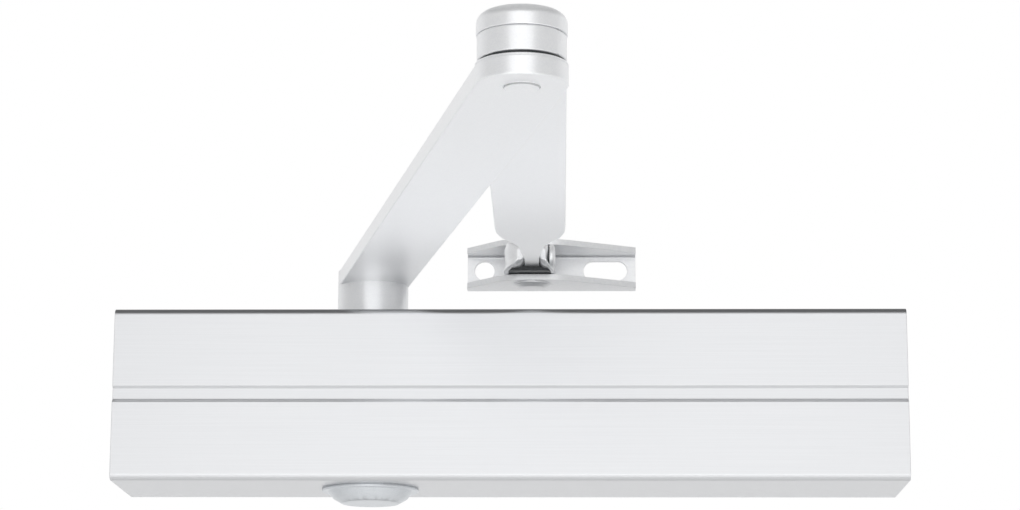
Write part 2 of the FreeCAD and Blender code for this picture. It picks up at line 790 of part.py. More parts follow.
def pinion_teeth():
    teeth = SIZES["gear_teeth"]
    pitch = number("pitch_radius")
    tip = pitch + SIZES["gear_addendum"]
    root = pitch - SIZES["gear_dedendum"]
    base = pitch * math.cos(math.radians(SIZES["gear_pressure_angle"]))
    middle = (base + tip) / 2
    edges = []
    for i in range(teeth):
        centre = 2 * math.pi * i / teeth - math.pi / 2
        rise = [tooth_flank(-1, centre, r) for r in (base, middle, tip)]
        fall = [tooth_flank(1, centre, r) for r in (tip, middle, base)]
        foot = [rise[0] * (root / base), fall[2] * (root / base)]
        crown = Vector(tip * math.cos(centre), tip * math.sin(centre), 0)
        gap = centre + math.pi / teeth
        valley = Vector(root * math.cos(gap), root * math.sin(gap), 0)
        next_foot = tooth_flank(-1, centre + 2 * math.pi / teeth, base) * (root / base)
        edges += [
            Part.LineSegment(foot[0], rise[0]).toShape(),
            Part.Arc(*rise).toShape(),
            Part.Arc(rise[2], crown, fall[0]).toShape(),
            Part.Arc(*fall).toShape(),
            Part.LineSegment(fall[2], foot[1]).toShape(),
            Part.Arc(foot[1], valley, next_foot).toShape(),
        ]
    face = Part.Face(Part.Wire(edges))
    return face.extrude(Vector(0, 0, 2 * SIZES["gear_half_height"]))


pinion = doc.addObject("Part::Feature", "pinion_gear")
pinion.Shape = pinion_teeth()
place(pinion, (*SPINDLE, "-gear_half_height"))
shaft = cylinder("pinion_journals", "journal_diameter / 2", "2 * cap_outer_end", (*SPINDLE, "-cap_outer_end"))
squares = []
for name, low, height in (
    ("upper", "cap_outer_end", "square_top - cap_outer_end"),
    ("lower", "-cap_outer_end - stub_length", "stub_length"),
):
    squares.append(prism(name + "_square", 4, "square_width", height, (*SPINDLE, low), turn="arm_angle + 45"))
thread = cylinder(
    "spindle_thread", "arm_screw_diameter / 2 + running_fit", "arm_screw_length",
    (*SPINDLE, "arm_top - arm_screw_length"))
keep(cut("pinion_shaft_cut", fuse("pinion_shaft_solid", pinion, shaft, *squares), thread), "pinion_shaft")

# Piston: a plunger with a window for the pinion, a rack along the front of the window,
# a sealing ring and a ball valve in the spring end

piston = new_body("piston_body", ("piston_left_end", *BORE_AXIS))
round_pad(piston, "piston_bar", "YZ", 0, (0, 0), "bore_radius - running_fit", "piston_length")
rack_tip = "-(pitch_radius - gear_addendum)"
rack_root = "-(pitch_radius + gear_dedendum)"
slot_back = "tip_radius + slot_back_gap"
pocket(piston, "pinion_window", "XY", 0, [
    ("window_start", rack_tip),
    ("window_end", rack_tip),
    ("window_end", slot_back),
    ("window_start", slot_back),
], "through")
flank = "tan(gear_pressure_angle)"
half_space = "(gear_pitch + gear_backlash) / 4"
space_at_root = "%s - gear_dedendum * %s" % (half_space, flank)
space_at_tip = "%s + gear_addendum * %s" % (half_space, flank)
first_space = "spindle_x - piston_left_end - rack_spaces_left * gear_pitch"
pocket(piston, "rack_space", "XY", 0, [
    ("%s - (%s)" % (first_space, space_at_root), rack_root),
    ("%s + (%s)" % (first_space, space_at_root), rack_root),
    ("%s + (%s)" % (first_space, space_at_tip), rack_tip),
    ("%s - (%s)" % (first_space, space_at_tip), rack_tip),
], "through")
rack = piston.newObject("PartDesign::LinearPattern", "rack_spaces")
rack.Originals = [doc.rack_space]
rack.Direction = (doc.rack_space_sketch, ["H_Axis"])
rack.setExpression("Occurrences", bound("rack_spaces"))
rack.setExpression("Length", bound("(rack_spaces - 1) * gear_pitch"))
piston.Tip = rack
doc.recompute()
ring_start = "piston_length - piston_groove_from_end - piston_ring_width"
groove_floor = "bore_radius - running_fit - piston_ring_depth"
groove_sketch = new_sketch(piston, "ring_groove_sketch", "XY", 0)
draw_polygon(groove_sketch, [
    (ring_start, groove_floor),
    (ring_start + " + piston_ring_width", groove_floor),
    (ring_start + " + piston_ring_width", "bore_radius + 1"),
    (ring_start, "bore_radius + 1"),
])
ring_groove = piston.newObject("PartDesign::Groove", "ring_groove")
ring_groove.Profile = groove_sketch
ring_groove.ReferenceAxis = (groove_sketch, ["H_Axis"])
ring_groove.Angle = 360
doc.recompute()
valve_floor = "piston_length - valve_pocket_depth"
bore(piston, "valve_pocket", "YZ", valve_floor, (0, 0), "valve_ball_diameter / 2 + running_fit",
     "valve_pocket_depth")
bore(piston, "valve_seat", "YZ", "window_end - valve_seat_diameter", (0, 0), "valve_seat_diameter / 2",
     "piston_crown")
keep(piston, "piston")

seal_outer = cylinder(
    "piston_ring_outer", "bore_radius - running_fit", "piston_ring_width - 2 * running_fit",
    ("piston_left_end + %s + running_fit" % ring_start, *BORE_AXIS), "X")
seal_inner = cylinder(
    "piston_ring_inner", groove_floor + " + running_fit", "piston_ring_width",
    ("piston_left_end + " + ring_start, *BORE_AXIS), "X")
keep(cut("piston_ring_cut", seal_outer, seal_inner), "piston_seal")

ball = doc.addObject("Part::Sphere", "valve_ball")
ball.setExpression("Radius", bound("valve_ball_diameter / 2"))
seat_rise = "sqrt((valve_ball_diameter / 2) ^ 2 - (valve_seat_diameter / 2) ^ 2)"
place(ball, ("piston_left_end + %s + %s + running_fit" % (valve_floor, seat_rise), *BORE_AXIS))
keep(ball, "check_ball")

# Closing springs between the piston and the spring plate


def arc_from(base, way, other, backwards=False):
    """The arc that leaves base along way and ends at other, or its reverse."""
    span = other - base
    side = (span - way * span.dot(way)).normalize()
    radius = span.dot(span) / (2 * span.dot(side))
    centre = base + side * radius
    middle = centre + ((base + other) * 0.5 - centre).normalize() * radius
    ends = (other, middle, base) if backwards else (base, middle, other)
    return Part.Arc(*ends).toShape()


def biarc(start, start_way, end, end_way):
    """Two arcs that join two points and keep the direction at each."""
    chord = end - start
    a = 2 * (1 - start_way.dot(end_way))
    b = 2 * chord.dot(start_way + end_way)
    c = -chord.dot(chord)
    reach = (-b + math.sqrt(b * b - 4 * a * c)) / (2 * a)
    joint = (start + end + (start_way - end_way) * reach) * 0.5
    return [arc_from(start, start_way, joint), arc_from(end, end_way, joint, backwards=True)]


def coil_spring(length, radius, wire, turns):
    """A coil along X as one unbroken tube; each half turn is a biarc."""
    lead = (length - wire) / turns
    slope = lead / (2 * math.pi)

    def point(angle):
        return Vector(wire / 2 + slope * angle, radius * math.cos(angle), radius * math.sin(angle))

    def way(angle):
        return Vector(slope, -radius * math.sin(angle), radius * math.cos(angle)).normalize()

    edges = []
    for i in range(2 * turns):
        edges += biarc(point(math.pi * i), way(math.pi * i), point(math.pi * (i + 1)), way(math.pi * (i + 1)))
    path = Part.Wire(edges)
    section = Part.Wire([Part.Circle(point(0), way(0), wire / 2).toShape()])
    print("coil: gap between turns %.2f mm, path %.0f mm" % (lead - wire, path.Length))
    return path.makePipeShell([section], True, False)


spring_room = number("spring_plate_x - (piston_face_x) - 2 * running_fit")
for name, across, wire, turns in (
    ("outer_spring", "outer_spring_diameter", "outer_wire", "outer_turns"),
    ("inner_spring", "inner_spring_diameter", "inner_wire", "inner_turns"),
):
    coil = doc.addObject("Part::Feature", name + "_coil")
    wire_size = SIZES[wire]
    coil.Shape = coil_spring(spring_room, (number(across) - wire_size) / 2, wire_size, SIZES[turns])
    place(coil, ("piston_face_x + running_fit", *BORE_AXIS))
    keep(coil, name)

spring_disc = cylinder(
    "spring_disc", "bore_radius - running_fit", "spring_plate_thickness", ("spring_plate_x", *BORE_AXIS), "X")
spring_disc_hole = cylinder(
    "spring_disc_hole", "adjuster_diameter / 2 + running_fit", "spring_plate_thickness",
    ("spring_plate_x", *BORE_AXIS), "X")
keep(cut("spring_plate_cut", spring_disc, spring_disc_hole), "spring_plate")

adjuster_rod = cylinder(
    "adjuster_rod", "adjuster_diameter / 2", "adjuster_length",
    ("adjuster_start", *BORE_AXIS), "X")
adjuster_collar = cylinder(
    "adjuster_collar", "adjuster_collar_diameter / 2", "adjuster_collar_length",
    ("plug_start - adjuster_collar_length - running_fit", *BORE_AXIS), "X")
adjuster_key = prism(
    "adjuster_key", 6, "adjuster_socket", "adjuster_socket_depth",
    ("housing_length / 2 - adjuster_socket_depth", *BORE_AXIS), "X")
keep(
    cut("adjuster_cut", fuse("adjuster_solid", adjuster_rod, adjuster_collar), adjuster_key),
    "adjusting_screw",
)

# Main arm: flat steel bar on a forged hub, with a square for the spindle

arm = new_body("arm_body", (*SPINDLE, 0), "arm_angle")
arm_half = "arm_width / 2"
pad(arm, "arm_bar", "XY", "arm_level", [
    ("-" + arm_half, 0),
    ("-" + arm_half, "-arm_reach"),
    (arm_half, "-arm_reach"),
    (arm_half, 0),
], "arm_thickness")
round_pad(arm, "arm_elbow_end", "XY", "arm_level", (0, "-arm_reach"), arm_half, "arm_thickness")
round_pad(arm, "arm_hub", "XY", "arm_hub_level", (0, 0), "arm_hub_diameter / 2",
          "arm_hub_height + arm_thickness")


def arm_rim(start, end, edge):
    """The outer edges of the bar above and below, away from the hub."""
    level = near(start.z, end.z) and (near(start.z, number("arm_level")) or near(start.z, number("arm_top")))
    return level and edge.CenterOfMass.y < -number("arm_hub_diameter")


round_edges(arm, "arm_edges", "arm_edge_radius", arm_rim)
square_half = "square_width / 2 + running_fit"
pocket(arm, "arm_square", "XY", "arm_hub_level", [
    ("-(" + square_half + ")", "-(" + square_half + ")"),
    (square_half, "-(" + square_half + ")"),
    (square_half, square_half),
    ("-(" + square_half + ")", square_half),
], "square_top - arm_hub_level + 2 * running_fit")
bore(arm, "arm_screw_hole", "XY", "arm_hub_level", (0, 0), "arm_screw_diameter / 2 + running_fit",
     "arm_top - arm_hub_level")
bore(arm, "elbow_pin_hole", "XY", "arm_level", (0, "-arm_reach"), "elbow_pin_diameter / 2 + running_fit",
     "arm_thickness")
sink_tool = cone(
    "arm_countersink", "arm_screw_diameter / 2 + running_fit", "arm_screw_head / 2 + running_fit",
    "arm_sink_depth", (*SPINDLE, "arm_top - arm_sink_depth"))
keep(cut("main_arm_cut", arm, sink_tool), "main_arm")

arm_screw_solid = fuse(
    "arm_screw_solid",
    cylinder("arm_screw_shank", "arm_screw_diameter / 2", "arm_screw_length",
             (*SPINDLE, "arm_top - arm_screw_length")),
    cone("arm_screw_cone", "arm_screw_diameter / 2", "arm_screw_head / 2", "arm_sink_depth",
         (*SPINDLE, "arm_top - arm_sink_depth")),
)
arm_screw_key = prism(
    "arm_screw_key", 6, "arm_screw_socket", "arm_screw_socket_depth",
    (*SPINDLE, "arm_top - arm_screw_socket_depth"))
keep(cut("arm_screw_cut", arm_screw_solid, arm_screw_key), "arm_screw")

# Elbow: pin riveted flush in the main arm, plastic washer, bush in the forearm, turned cap

ELBOW = ("elbow_x", "elbow_y")
keep(cylinder("elbow_pin_turned", "elbow_pin_diameter / 2", "elbow_pin_length", (*ELBOW, "arm_level")),
     "elbow_pin")
keep(turned("elbow_washer_turned", [
    ("elbow_pin_diameter / 2 + running_fit", "arm_top"),
    ("washer_diameter / 2", "arm_top"),
    ("washer_diameter / 2", "arm_top + washer_thickness"),
    ("elbow_pin_diameter / 2 + running_fit", "arm_top + washer_thickness"),
], (*ELBOW, 0)), "elbow_washer")
keep(turned("elbow_bush_turned", [
    ("elbow_pin_diameter / 2 + running_fit", "forearm_level"),
    ("elbow_bush_diameter / 2", "forearm_level"),
    ("elbow_bush_diameter / 2", "forearm_top"),
    ("elbow_pin_diameter / 2 + running_fit", "forearm_top"),
], (*ELBOW, 0)), "elbow_bush")
elbow_cap = new_body("elbow_cap_body", (*ELBOW, 0))
round_pad(elbow_cap, "elbow_cap_disc", "XY", "forearm_top", (0, 0), "elbow_cap_diameter / 2",
          "elbow_cap_height")
round_edges(
    elbow_cap, "elbow_cap_edge", "elbow_cap_radius",
    lambda start, end, edge: near(start.z, number("forearm_top + elbow_cap_height"))
    and near(end.z, start.z),
)
bore(elbow_cap, "elbow_cap_bore", "XY", "forearm_top", (0, 0), "elbow_pin_diameter / 2 + 2 * running_fit",
     "arm_level + elbow_pin_length - (forearm_top) + 4 * running_fit")
keep(elbow_cap, "elbow_cap")

# Forearm: flat bar that narrows to a tongue at the shoe end

forearm = new_body("forearm_body", (*ELBOW, 0), "forearm_angle")
forearm_half = [
    ("forearm_width / 2", 0),
    ("forearm_width / 2", "forearm_reach - shoulder_start"),
    ("shoulder_middle_width / 2", "forearm_reach - shoulder_middle"),
    ("neck_start_width / 2", "forearm_reach - neck_start"),
    ("neck_width / 2", "forearm_reach - neck_end"),
    ("tongue_width / 2", "forearm_reach - tongue_start"),
]
pad(forearm, "forearm_bar", "XY", "forearm_level", mirrored_outline(forearm_half), "forearm_thickness")
round_pad(forearm, "forearm_hub", "XY", "forearm_level", (0, 0), "forearm_width / 2", "forearm_thickness")


def forearm_corner(distance, width):
    """The upright edges of the forearm at a distance before the rivet."""
    def chosen(start, end, edge):
        upright = near(start.x, end.x) and near(start.y, end.y)
        return upright and near(start.y, number("forearm_reach - " + distance)) \
            and near(abs(start.x), number(width + " / 2"))
    return chosen


for name, distance, width, radius in (
    ("shoulder_outer", "shoulder_start", "forearm_width", "forearm_width / 2"),
    ("shoulder_inner", "shoulder_middle", "shoulder_middle_width", "forearm_thickness / 2"),
    ("neck_corner", "neck_start", "neck_start_width", "forearm_thickness / 4"),
):
    round_edges(forearm, name, radius, forearm_corner(distance, width))


def forearm_rim(start, end, edge):
    level = near(start.z, end.z)
    return level and edge.CenterOfMass.y < number("forearm_reach - shoulder_middle")


round_edges(forearm, "forearm_edges", "forearm_edge_radius", forearm_rim)
tongue_half = "tongue_width / 2"
pad(forearm, "tongue", "YZ", "-tongue_width / 2", [
    ("forearm_reach - tongue_start - tongue_overlap", "shoe_level - tongue_height / 2"),
    ("forearm_reach", "shoe_level - tongue_height / 2"),
    ("forearm_reach", "shoe_level + tongue_height / 2"),
    ("forearm_reach - tongue_start - tongue_overlap", "shoe_level + tongue_height / 2"),
], "tongue_width")
round_pad(forearm, "tongue_eye", "YZ", "-tongue_width / 2", ("forearm_reach", "shoe_level"),
          "tongue_height / 2", "tongue_width")
bore(forearm, "tongue_hole", "YZ", "-tongue_width / 2", ("forearm_reach", "shoe_level"),
     "rivet_diameter / 2 + running_fit", "tongue_width")
bore(forearm, "bush_hole", "XY", "forearm_level", (0, 0), "elbow_bush_diameter / 2", "forearm_thickness")
keep(forearm, "forearm")

# Yoke: a knuckle that swings on the shoe's pin and holds the tongue between two ears

SHOE = ("pin_x", "-shoe_pin_depth")
yoke = new_body("yoke_body", (*SHOE, 0), "forearm_angle")
yoke_low = "shoe_level - yoke_height / 2"
pad(yoke, "yoke_block", "XY", yoke_low, mirrored_outline([
    ("yoke_width / 2", 0),
    ("yoke_width / 2", "-yoke_taper_start"),
    ("yoke_ear_width / 2", "-yoke_taper_end"),
    ("yoke_ear_width / 2", "-rivet_to_pin"),
]), "yoke_height")
round_pad(yoke, "yoke_back", "XY", yoke_low, (0, 0), "yoke_width / 2", "yoke_height")
round_pad(yoke, "yoke_eye", "YZ", "-yoke_ear_width / 2", ("-rivet_to_pin", "shoe_level"),
          "yoke_height / 2", "yoke_ear_width")
pocket(yoke, "yoke_slot", "XY", yoke_low, [
    ("-yoke_slot_width / 2", "-yoke_slot_start"),
    ("-yoke_slot_width / 2", "-rivet_to_pin - yoke_height"),
    ("yoke_slot_width / 2", "-rivet_to_pin - yoke_height"),
    ("yoke_slot_width / 2", "-yoke_slot_start"),
], "yoke_height")
bore(yoke, "yoke_rivet_hole", "YZ", "-yoke_ear_width / 2", ("-rivet_to_pin", "shoe_level"),
     "rivet_diameter / 2 + running_fit", "yoke_ear_width")
bore(yoke, "yoke_pin_hole", "XY", yoke_low, (0, 0), "yoke_bore_radius", "yoke_height")
keep(yoke, "yoke")

rivet = new_body("rivet_body", (*SHOE, 0), "forearm_angle")
rivet_at = ("-rivet_to_pin", "shoe_level")
neck_end = "(yoke_ear_width / 2 + rivet_neck_length)"
round_pad(rivet, "rivet_shank", "YZ", "-" + neck_end, rivet_at, "rivet_diameter / 2", "2 * " + neck_end)
for side, sign in (("left", -1), ("right", 1)):
    neck_level = "-" + neck_end if sign < 0 else "yoke_ear_width / 2"
    head_level = "-%s - rivet_head_thickness" % neck_end if sign < 0 else neck_end
    round_pad(rivet, side + "_rivet_neck", "YZ", neck_level, rivet_at,
              "rivet_neck_diameter / 2", "rivet_neck_length")
    round_pad(rivet, side + "_rivet_head", "YZ", head_level, rivet_at,
              "rivet_head_diameter / 2", "rivet_head_thickness")
keep(rivet, "tilt_rivet")

# Shoe: folded steel channel with a round hole, a slot and the pin the yoke turns on

shoe = new_body("shoe_body", ("pin_x", 0, "shoe_level"))
pad(shoe, "shoe_block", "XY", "-shoe_height / 2", [
    ("-shoe_left", 0),
    ("-shoe_left", "-shoe_left_depth"),
    ("-shoe_front_width / 2", "-shoe_depth"),
    ("shoe_front_width / 2", "-shoe_depth"),
    ("shoe_right", "-shoe_right_depth"),
    ("shoe_right", 0),
], "shoe_height")
round_edges(
    shoe, "shoe_bends", "shoe_sheet",
    lambda start, end, edge: near(start.y, 0) and near(end.y, 0) and near(start.z, end.z),
)
pocket(shoe, "shoe_channel", "YZ", "-shoe_left", [
    ("-shoe_sheet", "-shoe_height / 2 + shoe_sheet"),
    ("-shoe_sheet", "shoe_height / 2 - shoe_sheet"),
    ("-shoe_depth - 1", "shoe_height / 2 - shoe_sheet"),
    ("-shoe_depth - 1", "-shoe_height / 2 + shoe_sheet"),
], "shoe_left + shoe_right")
round_edges(
    shoe, "shoe_inner_bends", "shoe_bend_radius",
    lambda start, end, edge: near(start.y, -number("shoe_sheet")) and near(end.y, start.y)
    and near(start.z, end.z),
)
hole_radius = "shoe_hole_diameter / 2"
bore(shoe, "shoe_hole", "XZ", 0, ("-shoe_hole_offset", 0), hole_radius, "shoe_sheet")
slot_left = "shoe_slot_offset - (shoe_slot_length - shoe_hole_diameter) / 2"
slot_right = "shoe_slot_offset + (shoe_slot_length - shoe_hole_diameter) / 2"
bore(shoe, "shoe_slot_left", "XZ", 0, (slot_left, 0), hole_radius, "shoe_sheet")
bore(shoe, "shoe_slot_right", "XZ", 0, (slot_right, 0), hole_radius, "shoe_sheet")
pocket(shoe, "shoe_slot_middle", "XZ", 0, [
    (slot_left, "-" + hole_radius),
    (slot_right, "-" + hole_radius),
    (slot_right, hole_radius),
    (slot_left, hole_radius),
], "shoe_sheet")
bore(shoe, "shoe_pin_hole", "XY", "-shoe_height / 2", (0, "-shoe_pin_depth"),
     "shoe_pin_diameter / 2 + running_fit / 2", "shoe_height")
keep(shoe, "shoe_bracket")

pin_low = "shoe_level - shoe_height / 2 - shoe_pin_head_thickness"
pin_body = new_body("shoe_pin_body", (*SHOE, 0))
round_pad(pin_body, "shoe_pin_shank", "XY", pin_low, (0, 0), "shoe_pin_diameter / 2",
          "shoe_height + 2 * shoe_pin_head_thickness")
for name, level in (("lower", pin_low), ("upper", "shoe_level + shoe_height / 2")):
    round_pad(pin_body, "shoe_pin_%s_head" % name, "XY", level, (0, 0), "shoe_pin_head_diameter / 2",
              "shoe_pin_head_thickness")
keep(pin_body, "shoe_pin")

# Check every object, then write each piece

doc.recompute()
faults = []
for item in doc.Objects:
    if "Invalid" in item.State or "Error" in item.State:
        faults.append("%s: %s" % (item.Name, ", ".join(item.State)))
for item in pieces:
    if item.Shape.isNull() or not item.Shape.isValid() or not item.Shape.Solids:
        faults.append(item.Label + ": no valid shape")
if faults:
    raise ValueError("; ".join(faults))

os.makedirs("parts", exist_ok=True)
for item in pieces:
    item.Shape.exportStep(os.path.join("parts", item.Label + ".step"))
    print("%-24s %3d solids %12.1f mm3" % (item.Label, len(item.Shape.Solids), item.Shape.Volume))
print("pieces: %d" % len(pieces))
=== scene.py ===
# %% [markdown]
# # An overhead door closer
# The closer is a long aluminium case with an arm that folds over it and ends in a small bracket, the
# shoe. Every piece already exists as an exact solid from the CAD step. This lesson dresses those solids:
# it rounds the edges a hand would feel, adds the turned and moulded details, and gives each piece the
# finish of its real material. The solids are loaded as a fixed frame, so nothing needs to be fitted.

# %% Load the frame
import json
import math

import bmesh
import bpy
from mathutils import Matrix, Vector

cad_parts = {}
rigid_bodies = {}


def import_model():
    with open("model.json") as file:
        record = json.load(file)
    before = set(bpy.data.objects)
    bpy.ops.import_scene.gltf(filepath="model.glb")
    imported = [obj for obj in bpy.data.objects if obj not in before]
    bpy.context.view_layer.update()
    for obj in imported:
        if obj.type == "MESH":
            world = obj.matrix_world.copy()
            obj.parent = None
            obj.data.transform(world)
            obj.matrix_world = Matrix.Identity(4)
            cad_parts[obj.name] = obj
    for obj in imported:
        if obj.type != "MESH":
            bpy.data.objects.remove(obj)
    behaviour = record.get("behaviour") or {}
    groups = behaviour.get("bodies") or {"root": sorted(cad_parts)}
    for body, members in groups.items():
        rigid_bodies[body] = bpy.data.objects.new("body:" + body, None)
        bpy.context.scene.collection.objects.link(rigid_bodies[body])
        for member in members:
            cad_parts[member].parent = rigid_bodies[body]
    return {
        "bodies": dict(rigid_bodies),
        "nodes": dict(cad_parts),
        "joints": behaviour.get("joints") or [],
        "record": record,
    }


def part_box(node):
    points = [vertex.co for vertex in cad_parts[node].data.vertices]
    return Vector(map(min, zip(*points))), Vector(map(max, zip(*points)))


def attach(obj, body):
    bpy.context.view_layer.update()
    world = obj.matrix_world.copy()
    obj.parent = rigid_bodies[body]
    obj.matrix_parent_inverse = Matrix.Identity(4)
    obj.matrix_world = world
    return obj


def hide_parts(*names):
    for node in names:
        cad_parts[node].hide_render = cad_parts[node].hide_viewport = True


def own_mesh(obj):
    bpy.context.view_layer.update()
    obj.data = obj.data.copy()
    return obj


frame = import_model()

kept = set(frame["nodes"].values()) | set(frame["bodies"].values())
for stray in [thing for thing in bpy.data.objects if thing not in kept]:
    bpy.data.objects.remove(stray)
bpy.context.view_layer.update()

# %% [markdown]
# ## Units and colours
# Sizes are thought of in millimetres, as on the drawing, and Blender works in metres. Colours are
# written as sRGB hex values, the way a paint chart gives them. Shaders want linear light, so one
# function converts them and every colour goes through it.

# %% Units and colours
MM = 0.001


def hex_linear(code):
    """Turns an sRGB hex colour into the linear RGBA that a shader socket wants."""
    shares = [int(code[start:start + 2], 16) / 255 for start in (1, 3, 5)]
    linear = [
        share / 12.92 if share <= 0.04045 else ((share + 0.055) / 1.055) ** 2.4 for share in shares]
    return linear + [1.0]


print("a mid grey of #808080 is %.3f in linear light" % hex_linear("#808080")[0])

# %% [markdown]
# ## One way to build materials
# A node material could be drawn by hand, but a script is easier to read and to change. One small
# function adds a node, sets its properties and fills its inputs: a plain value goes on the socket
# itself, and another node's output becomes a link.

# %% The node helper and an empty material


def add(tree, kind, inputs=None, **settings):
    """Adds a node with its settings; inputs are values or the outputs to link from."""
    node = tree.nodes.new("ShaderNode" + kind)
    for name, value in settings.items():
        setattr(node, name, value)
    for name, value in (inputs or {}).items():
        if isinstance(value, bpy.types.NodeSocket):
            tree.links.new(value, node.inputs[name])
        else:
            node.inputs[name].default_value = value
    return node


def start_material(name, metallic, roughness):
    """A material with one Principled shader, and the object's own coordinates to draw patterns in."""
    material = bpy.data.materials.new(name)
    material.use_nodes = True
    tree = material.node_tree
    shader = tree.nodes["Principled BSDF"]
    shader.inputs["Metallic"].default_value = metallic
    shader.inputs["Roughness"].default_value = roughness
    place = add(tree, "TexCoord").outputs["Object"]
    return material, tree, shader, place


print("functions for materials:", add.__name__, "and", start_material.__name__)

# %% [markdown]
# ## Grain, tone and relief
# Most finishes here are one idea at different scales: a fine pattern shifts the tone a little, changes
# how glossy the spot is and lifts the surface by a few thousandths of a millimetre, more on a casting.
# The pattern size is given in millimetres across one grain, along each axis, so drawn metal can have
# long thin grains.

# %% Grain, tone and relief


def grain(tree, place, size_mm, detail=2.0):
    """A noise pattern whose grains are size_mm across; three sizes stretch it along the axes."""
    sizes = size_mm if isinstance(size_mm, tuple) else (size_mm,) * 3
    scaled = add(tree, "Mapping", {"Vector": place, "Scale": [1 / (size * MM) for size in sizes]})
    return add(tree, "TexNoise", {"Vector": scaled.outputs[0], "Scale": 1.0, "Detail": detail}).outputs[0]


def tone(tree, shader, pattern, dark, light, low=0.35, high=0.65):
    """Blends the base colour from dark to light along a pattern."""
    share = add(tree, "MapRange", {"Value": pattern, "From Min": low, "From Max": high})
    blend = add(tree, "Mix", {
        0: share.outputs[0], 6: hex_linear(dark), 7: hex_linear(light)}, data_type="RGBA")
    tree.links.new(blend.outputs[2], shader.inputs["Base Color"])


def gloss(tree, shader, pattern, glossy, dull, low=0.3, high=0.7):
    """Lets the roughness run from glossy to dull along a pattern."""
    spread = add(tree, "MapRange", {
        "Value": pattern, "From Min": low, "From Max": high, "To Min": glossy, "To Max": dull})
    tree.links.new(spread.outputs[0], shader.inputs["Roughness"])


def relief(tree, shader, pattern, height_mm):
    """Lifts the surface by up to height_mm along a pattern."""
    bump = add(tree, "Bump", {"Height": pattern, "Distance": height_mm * MM, "Strength": 1.0})
    tree.links.new(bump.outputs[0], shader.inputs["Normal"])


print("pattern functions:", [step.__name__ for step in (grain, tone, gloss, relief)])

# %% [markdown]
# ## Anodised aluminium: the cover
# The cover is an extrusion, etched and anodised in natural silver. The die leaves faint lines along
# the bar, half a millimetre apart, and the etch makes the metal satin, so it mirrors light as a broad
# soft glow and never as an image. Under the clear oxide it is a metal, so metallic is high, and the
# roughness is about a third. The die presses hardest at the bar's rounded corners, so they come out
# denser than the flats and mirror like bare metal. The upper rounded corner is also painted a darker
# grey, a painted shade that draws a fine dark line along the whole case.

# %% Anodised aluminium
FLAT_METALLIC = 0.86
DENSE_METALLIC = 0.98
CORNER_GROWS = (1.9, 1.4)  # mm from the flat top or underside, where the dense metal starts and is full
CORNER_FADES = (0.08, 0.02)  # the same, where it starts to fade and is gone

anodised, tree, shader, place = start_material("anodised aluminium, satin", FLAT_METALLIC, 0.33)
die_lines = grain(tree, place, (60.0, 0.5, 0.5))
tone(tree, shader, die_lines, "#D8D9DB", "#DBDCDE")
gloss(tree, shader, die_lines, 0.32, 0.345)
relief(tree, shader, grain(tree, place, 0.4), 0.0015)

cover_low, cover_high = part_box("cover")
half_height = (cover_high[2] - cover_low[2]) / 2
middle_level = (cover_high[2] + cover_low[2]) / 2
level_up = add(tree, "SeparateXYZ", {"Vector": place}).outputs["Z"]
off_middle = add(tree, "Math", {0: level_up, 1: middle_level}, operation="SUBTRACT").outputs[0]
from_middle = add(tree, "Math", {0: off_middle}, operation="ABSOLUTE").outputs[0]
corner, flat = [
    add(tree, "MapRange", {
        "Value": from_middle, "From Min": half_height - far * MM, "From Max": half_height - near * MM,
    }).outputs[0]
    for far, near in (CORNER_GROWS, CORNER_FADES)]
dense = add(tree, "Math", {0: corner, 1: flat}, operation="SUBTRACT").outputs[0]
metal_share = add(tree, "Math", {
    0: dense, 1: DENSE_METALLIC - FLAT_METALLIC, 2: FLAT_METALLIC}, operation="MULTIPLY_ADD")
tree.links.new(metal_share.outputs[0], shader.inputs["Metallic"])
# painted shade: on the upper half, the rounded corner band is blended towards the darker grey #B3B4B6, a
# fine dark line along the top of the case
above = add(tree, "Math", {0: off_middle, 1: 0.0}, operation="GREATER_THAN").outputs[0]
painted_shade_upper_corner = add(tree, "Math", {0: dense, 1: above}, operation="MULTIPLY").outputs[0]
plain = shader.inputs["Base Color"].links[0].from_socket
shade = add(tree, "Mix", {0: painted_shade_upper_corner, 6: plain, 7: hex_linear("#B3B4B6")}, data_type="RGBA")
tree.links.new(shade.outputs[2], shader.inputs["Base Color"])
print("cover finish:", anodised.name)

# %% [markdown]
# ## Silver lacquer: arms, elbow and shoe
# The steel arms are coated with a lacquer full of aluminium flakes. The flakes lie almost flat, so the
# paint reflects like soft metal, and up close it sparkles. Real flakes are some 0.03 mm across; they
# are drawn ten times larger to show. Sprayed lacquer also dries with a faint orange peel.

# %% Silver lacquer
lacquer, tree, shader, place = start_material("silver flake lacquer", 0.7, 0.34)
flakes = add(tree, "TexVoronoi", {"Vector": place, "Scale": 1 / (0.3 * MM)})
flake_share = add(tree, "SeparateColor", {"Color": flakes.outputs["Color"]}).outputs[0]
tone(tree, shader, flake_share, "#EFF0F2", "#F4F5F6", 0.0, 1.0)
gloss(tree, shader, flake_share, 0.325, 0.355)
relief(tree, shader, grain(tree, place, 1.6), 0.002)
print("arm finish:", lacquer.name)

# %% [markdown]
# ## Tumbled steel: the shoe
# The shoe is pressed sheet that is tumbled in a drum and then gets a thin coat of the same silver. The
# steel shows through as a slightly greyer tone, and the tumbling leaves shallow dents a millimetre wide.

# %% Coated pressed steel
pressed_steel, tree, shader, place = start_material("pressed steel, thin silver coat", 0.7, 0.36)
tumble = grain(tree, place, 1.2)
tone(tree, shader, tumble, "#ECEDEF", "#F1F2F3")
gloss(tree, shader, tumble, 0.33, 0.39)
relief(tree, shader, tumble, 0.006)
print("shoe finish:", pressed_steel.name)

# %% [markdown]
# ## Moulded plastics: end caps, inserts, spindle cap and the elbow washer
# The caps are moulded in ABS that is filled with aluminium flake, to match the case, so they are partly
# metallic. Their tool was spark eroded, which leaves a fine even grain. The black washer is acetal: not
# metallic at all, smoother and a little waxy.

